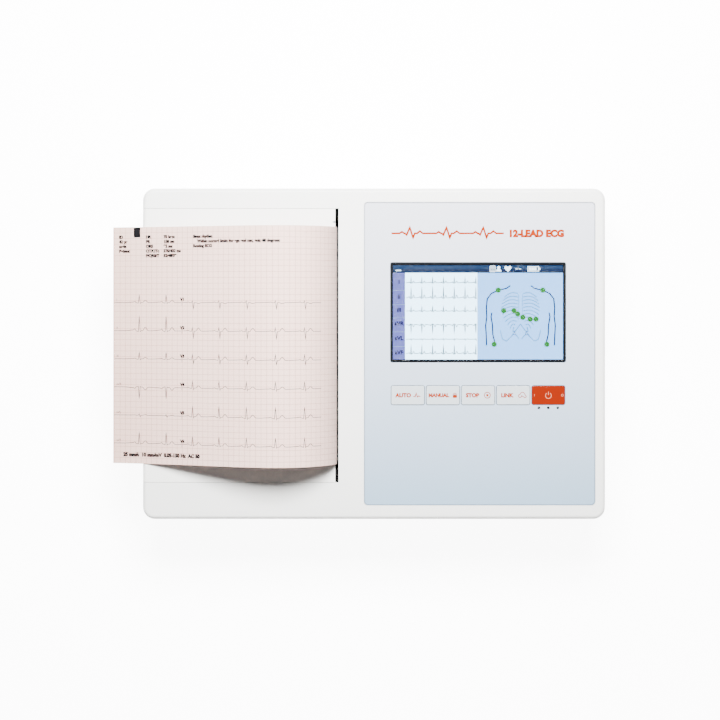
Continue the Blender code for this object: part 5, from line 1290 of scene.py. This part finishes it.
make_socket_details()
make_underside()
make_latch_ribs()
make_painted_door_arrow()


# ---- floor, light and camera ----
def make_floor():
    """A bright white floor that doesn't throw its light back on the machine."""
    bm = bmesh.new()
    bmesh.ops.create_grid(bm, x_segments=1, y_segments=1, size=6.0)
    floor = to_object("floor", bm)
    paint = bpy.data.materials.new("floor_white")
    paint.use_nodes = True
    feed(paint.node_tree.nodes["Principled BSDF"], Base_Color=(0.92, 0.92, 0.92), Roughness=0.95,
         Emission_Color=(1.0, 1.0, 1.0), Emission_Strength=9.5)
    floor.data.materials.append(paint)
    floor.visible_diffuse = False


def make_sky():
    """Bright low at the rear, dim overhead and dim from the front and from below."""
    world = bpy.data.worlds.new("studio")
    bpy.context.scene.world = world
    world.use_nodes = True
    tree = world.node_tree
    way = tree.nodes.new("ShaderNodeTexCoord").outputs["Generated"]
    axes = split_axes(tree, way)
    rear = math_node(tree, "ADD", math_node(tree, "MULTIPLY", axes["Y"], 0.5), 0.5)
    around = mix_colour(tree, rear, (0.05, 0.05, 0.052), (1.0, 1.0, 1.0))
    height = math_node(tree, "POWER", math_node(tree, "MAXIMUM", axes["Z"], 0.0), 0.6)
    above = mix_colour(tree, height, around, (0.10, 0.10, 0.105))
    depth = math_node(tree, "MULTIPLY", axes["Z"], -2.5, clamp=True)
    feed(tree.nodes["Background"], Color=mix_colour(tree, depth, above, (0.09, 0.09, 0.09)),
         Strength=1.3)


def make_lamp(name, place, aim, wide, deep, power):
    """A rectangular lamp that isn't seen itself."""
    data = bpy.data.lights.new(name, "AREA")
    data.shape = "RECTANGLE"
    data.size = wide
    data.size_y = deep
    data.energy = power
    lamp = add_object(name, data)
    lamp.location = place
    lamp.rotation_euler = (Vector(aim) - Vector(place)).to_track_quat("-Z", "Y").to_euler()
    lamp.visible_camera = False


def make_camera():
    """Straight down, standing a little behind the machine's middle."""
    data = bpy.data.cameras.new("view")
    data.lens = 84.5
    data.sensor_width = 36.0
    data.shift_y = -0.083
    camera = add_object("view", data)
    camera.location = (0.001, 0.0476, DECK + 1.5)
    bpy.context.scene.camera = camera


make_floor()
make_sky()
make_lamp("softbox", (0.02, 0.50, 0.92), (0, 0.03, 0.09), 0.55, 0.38, 65.0)
make_camera()
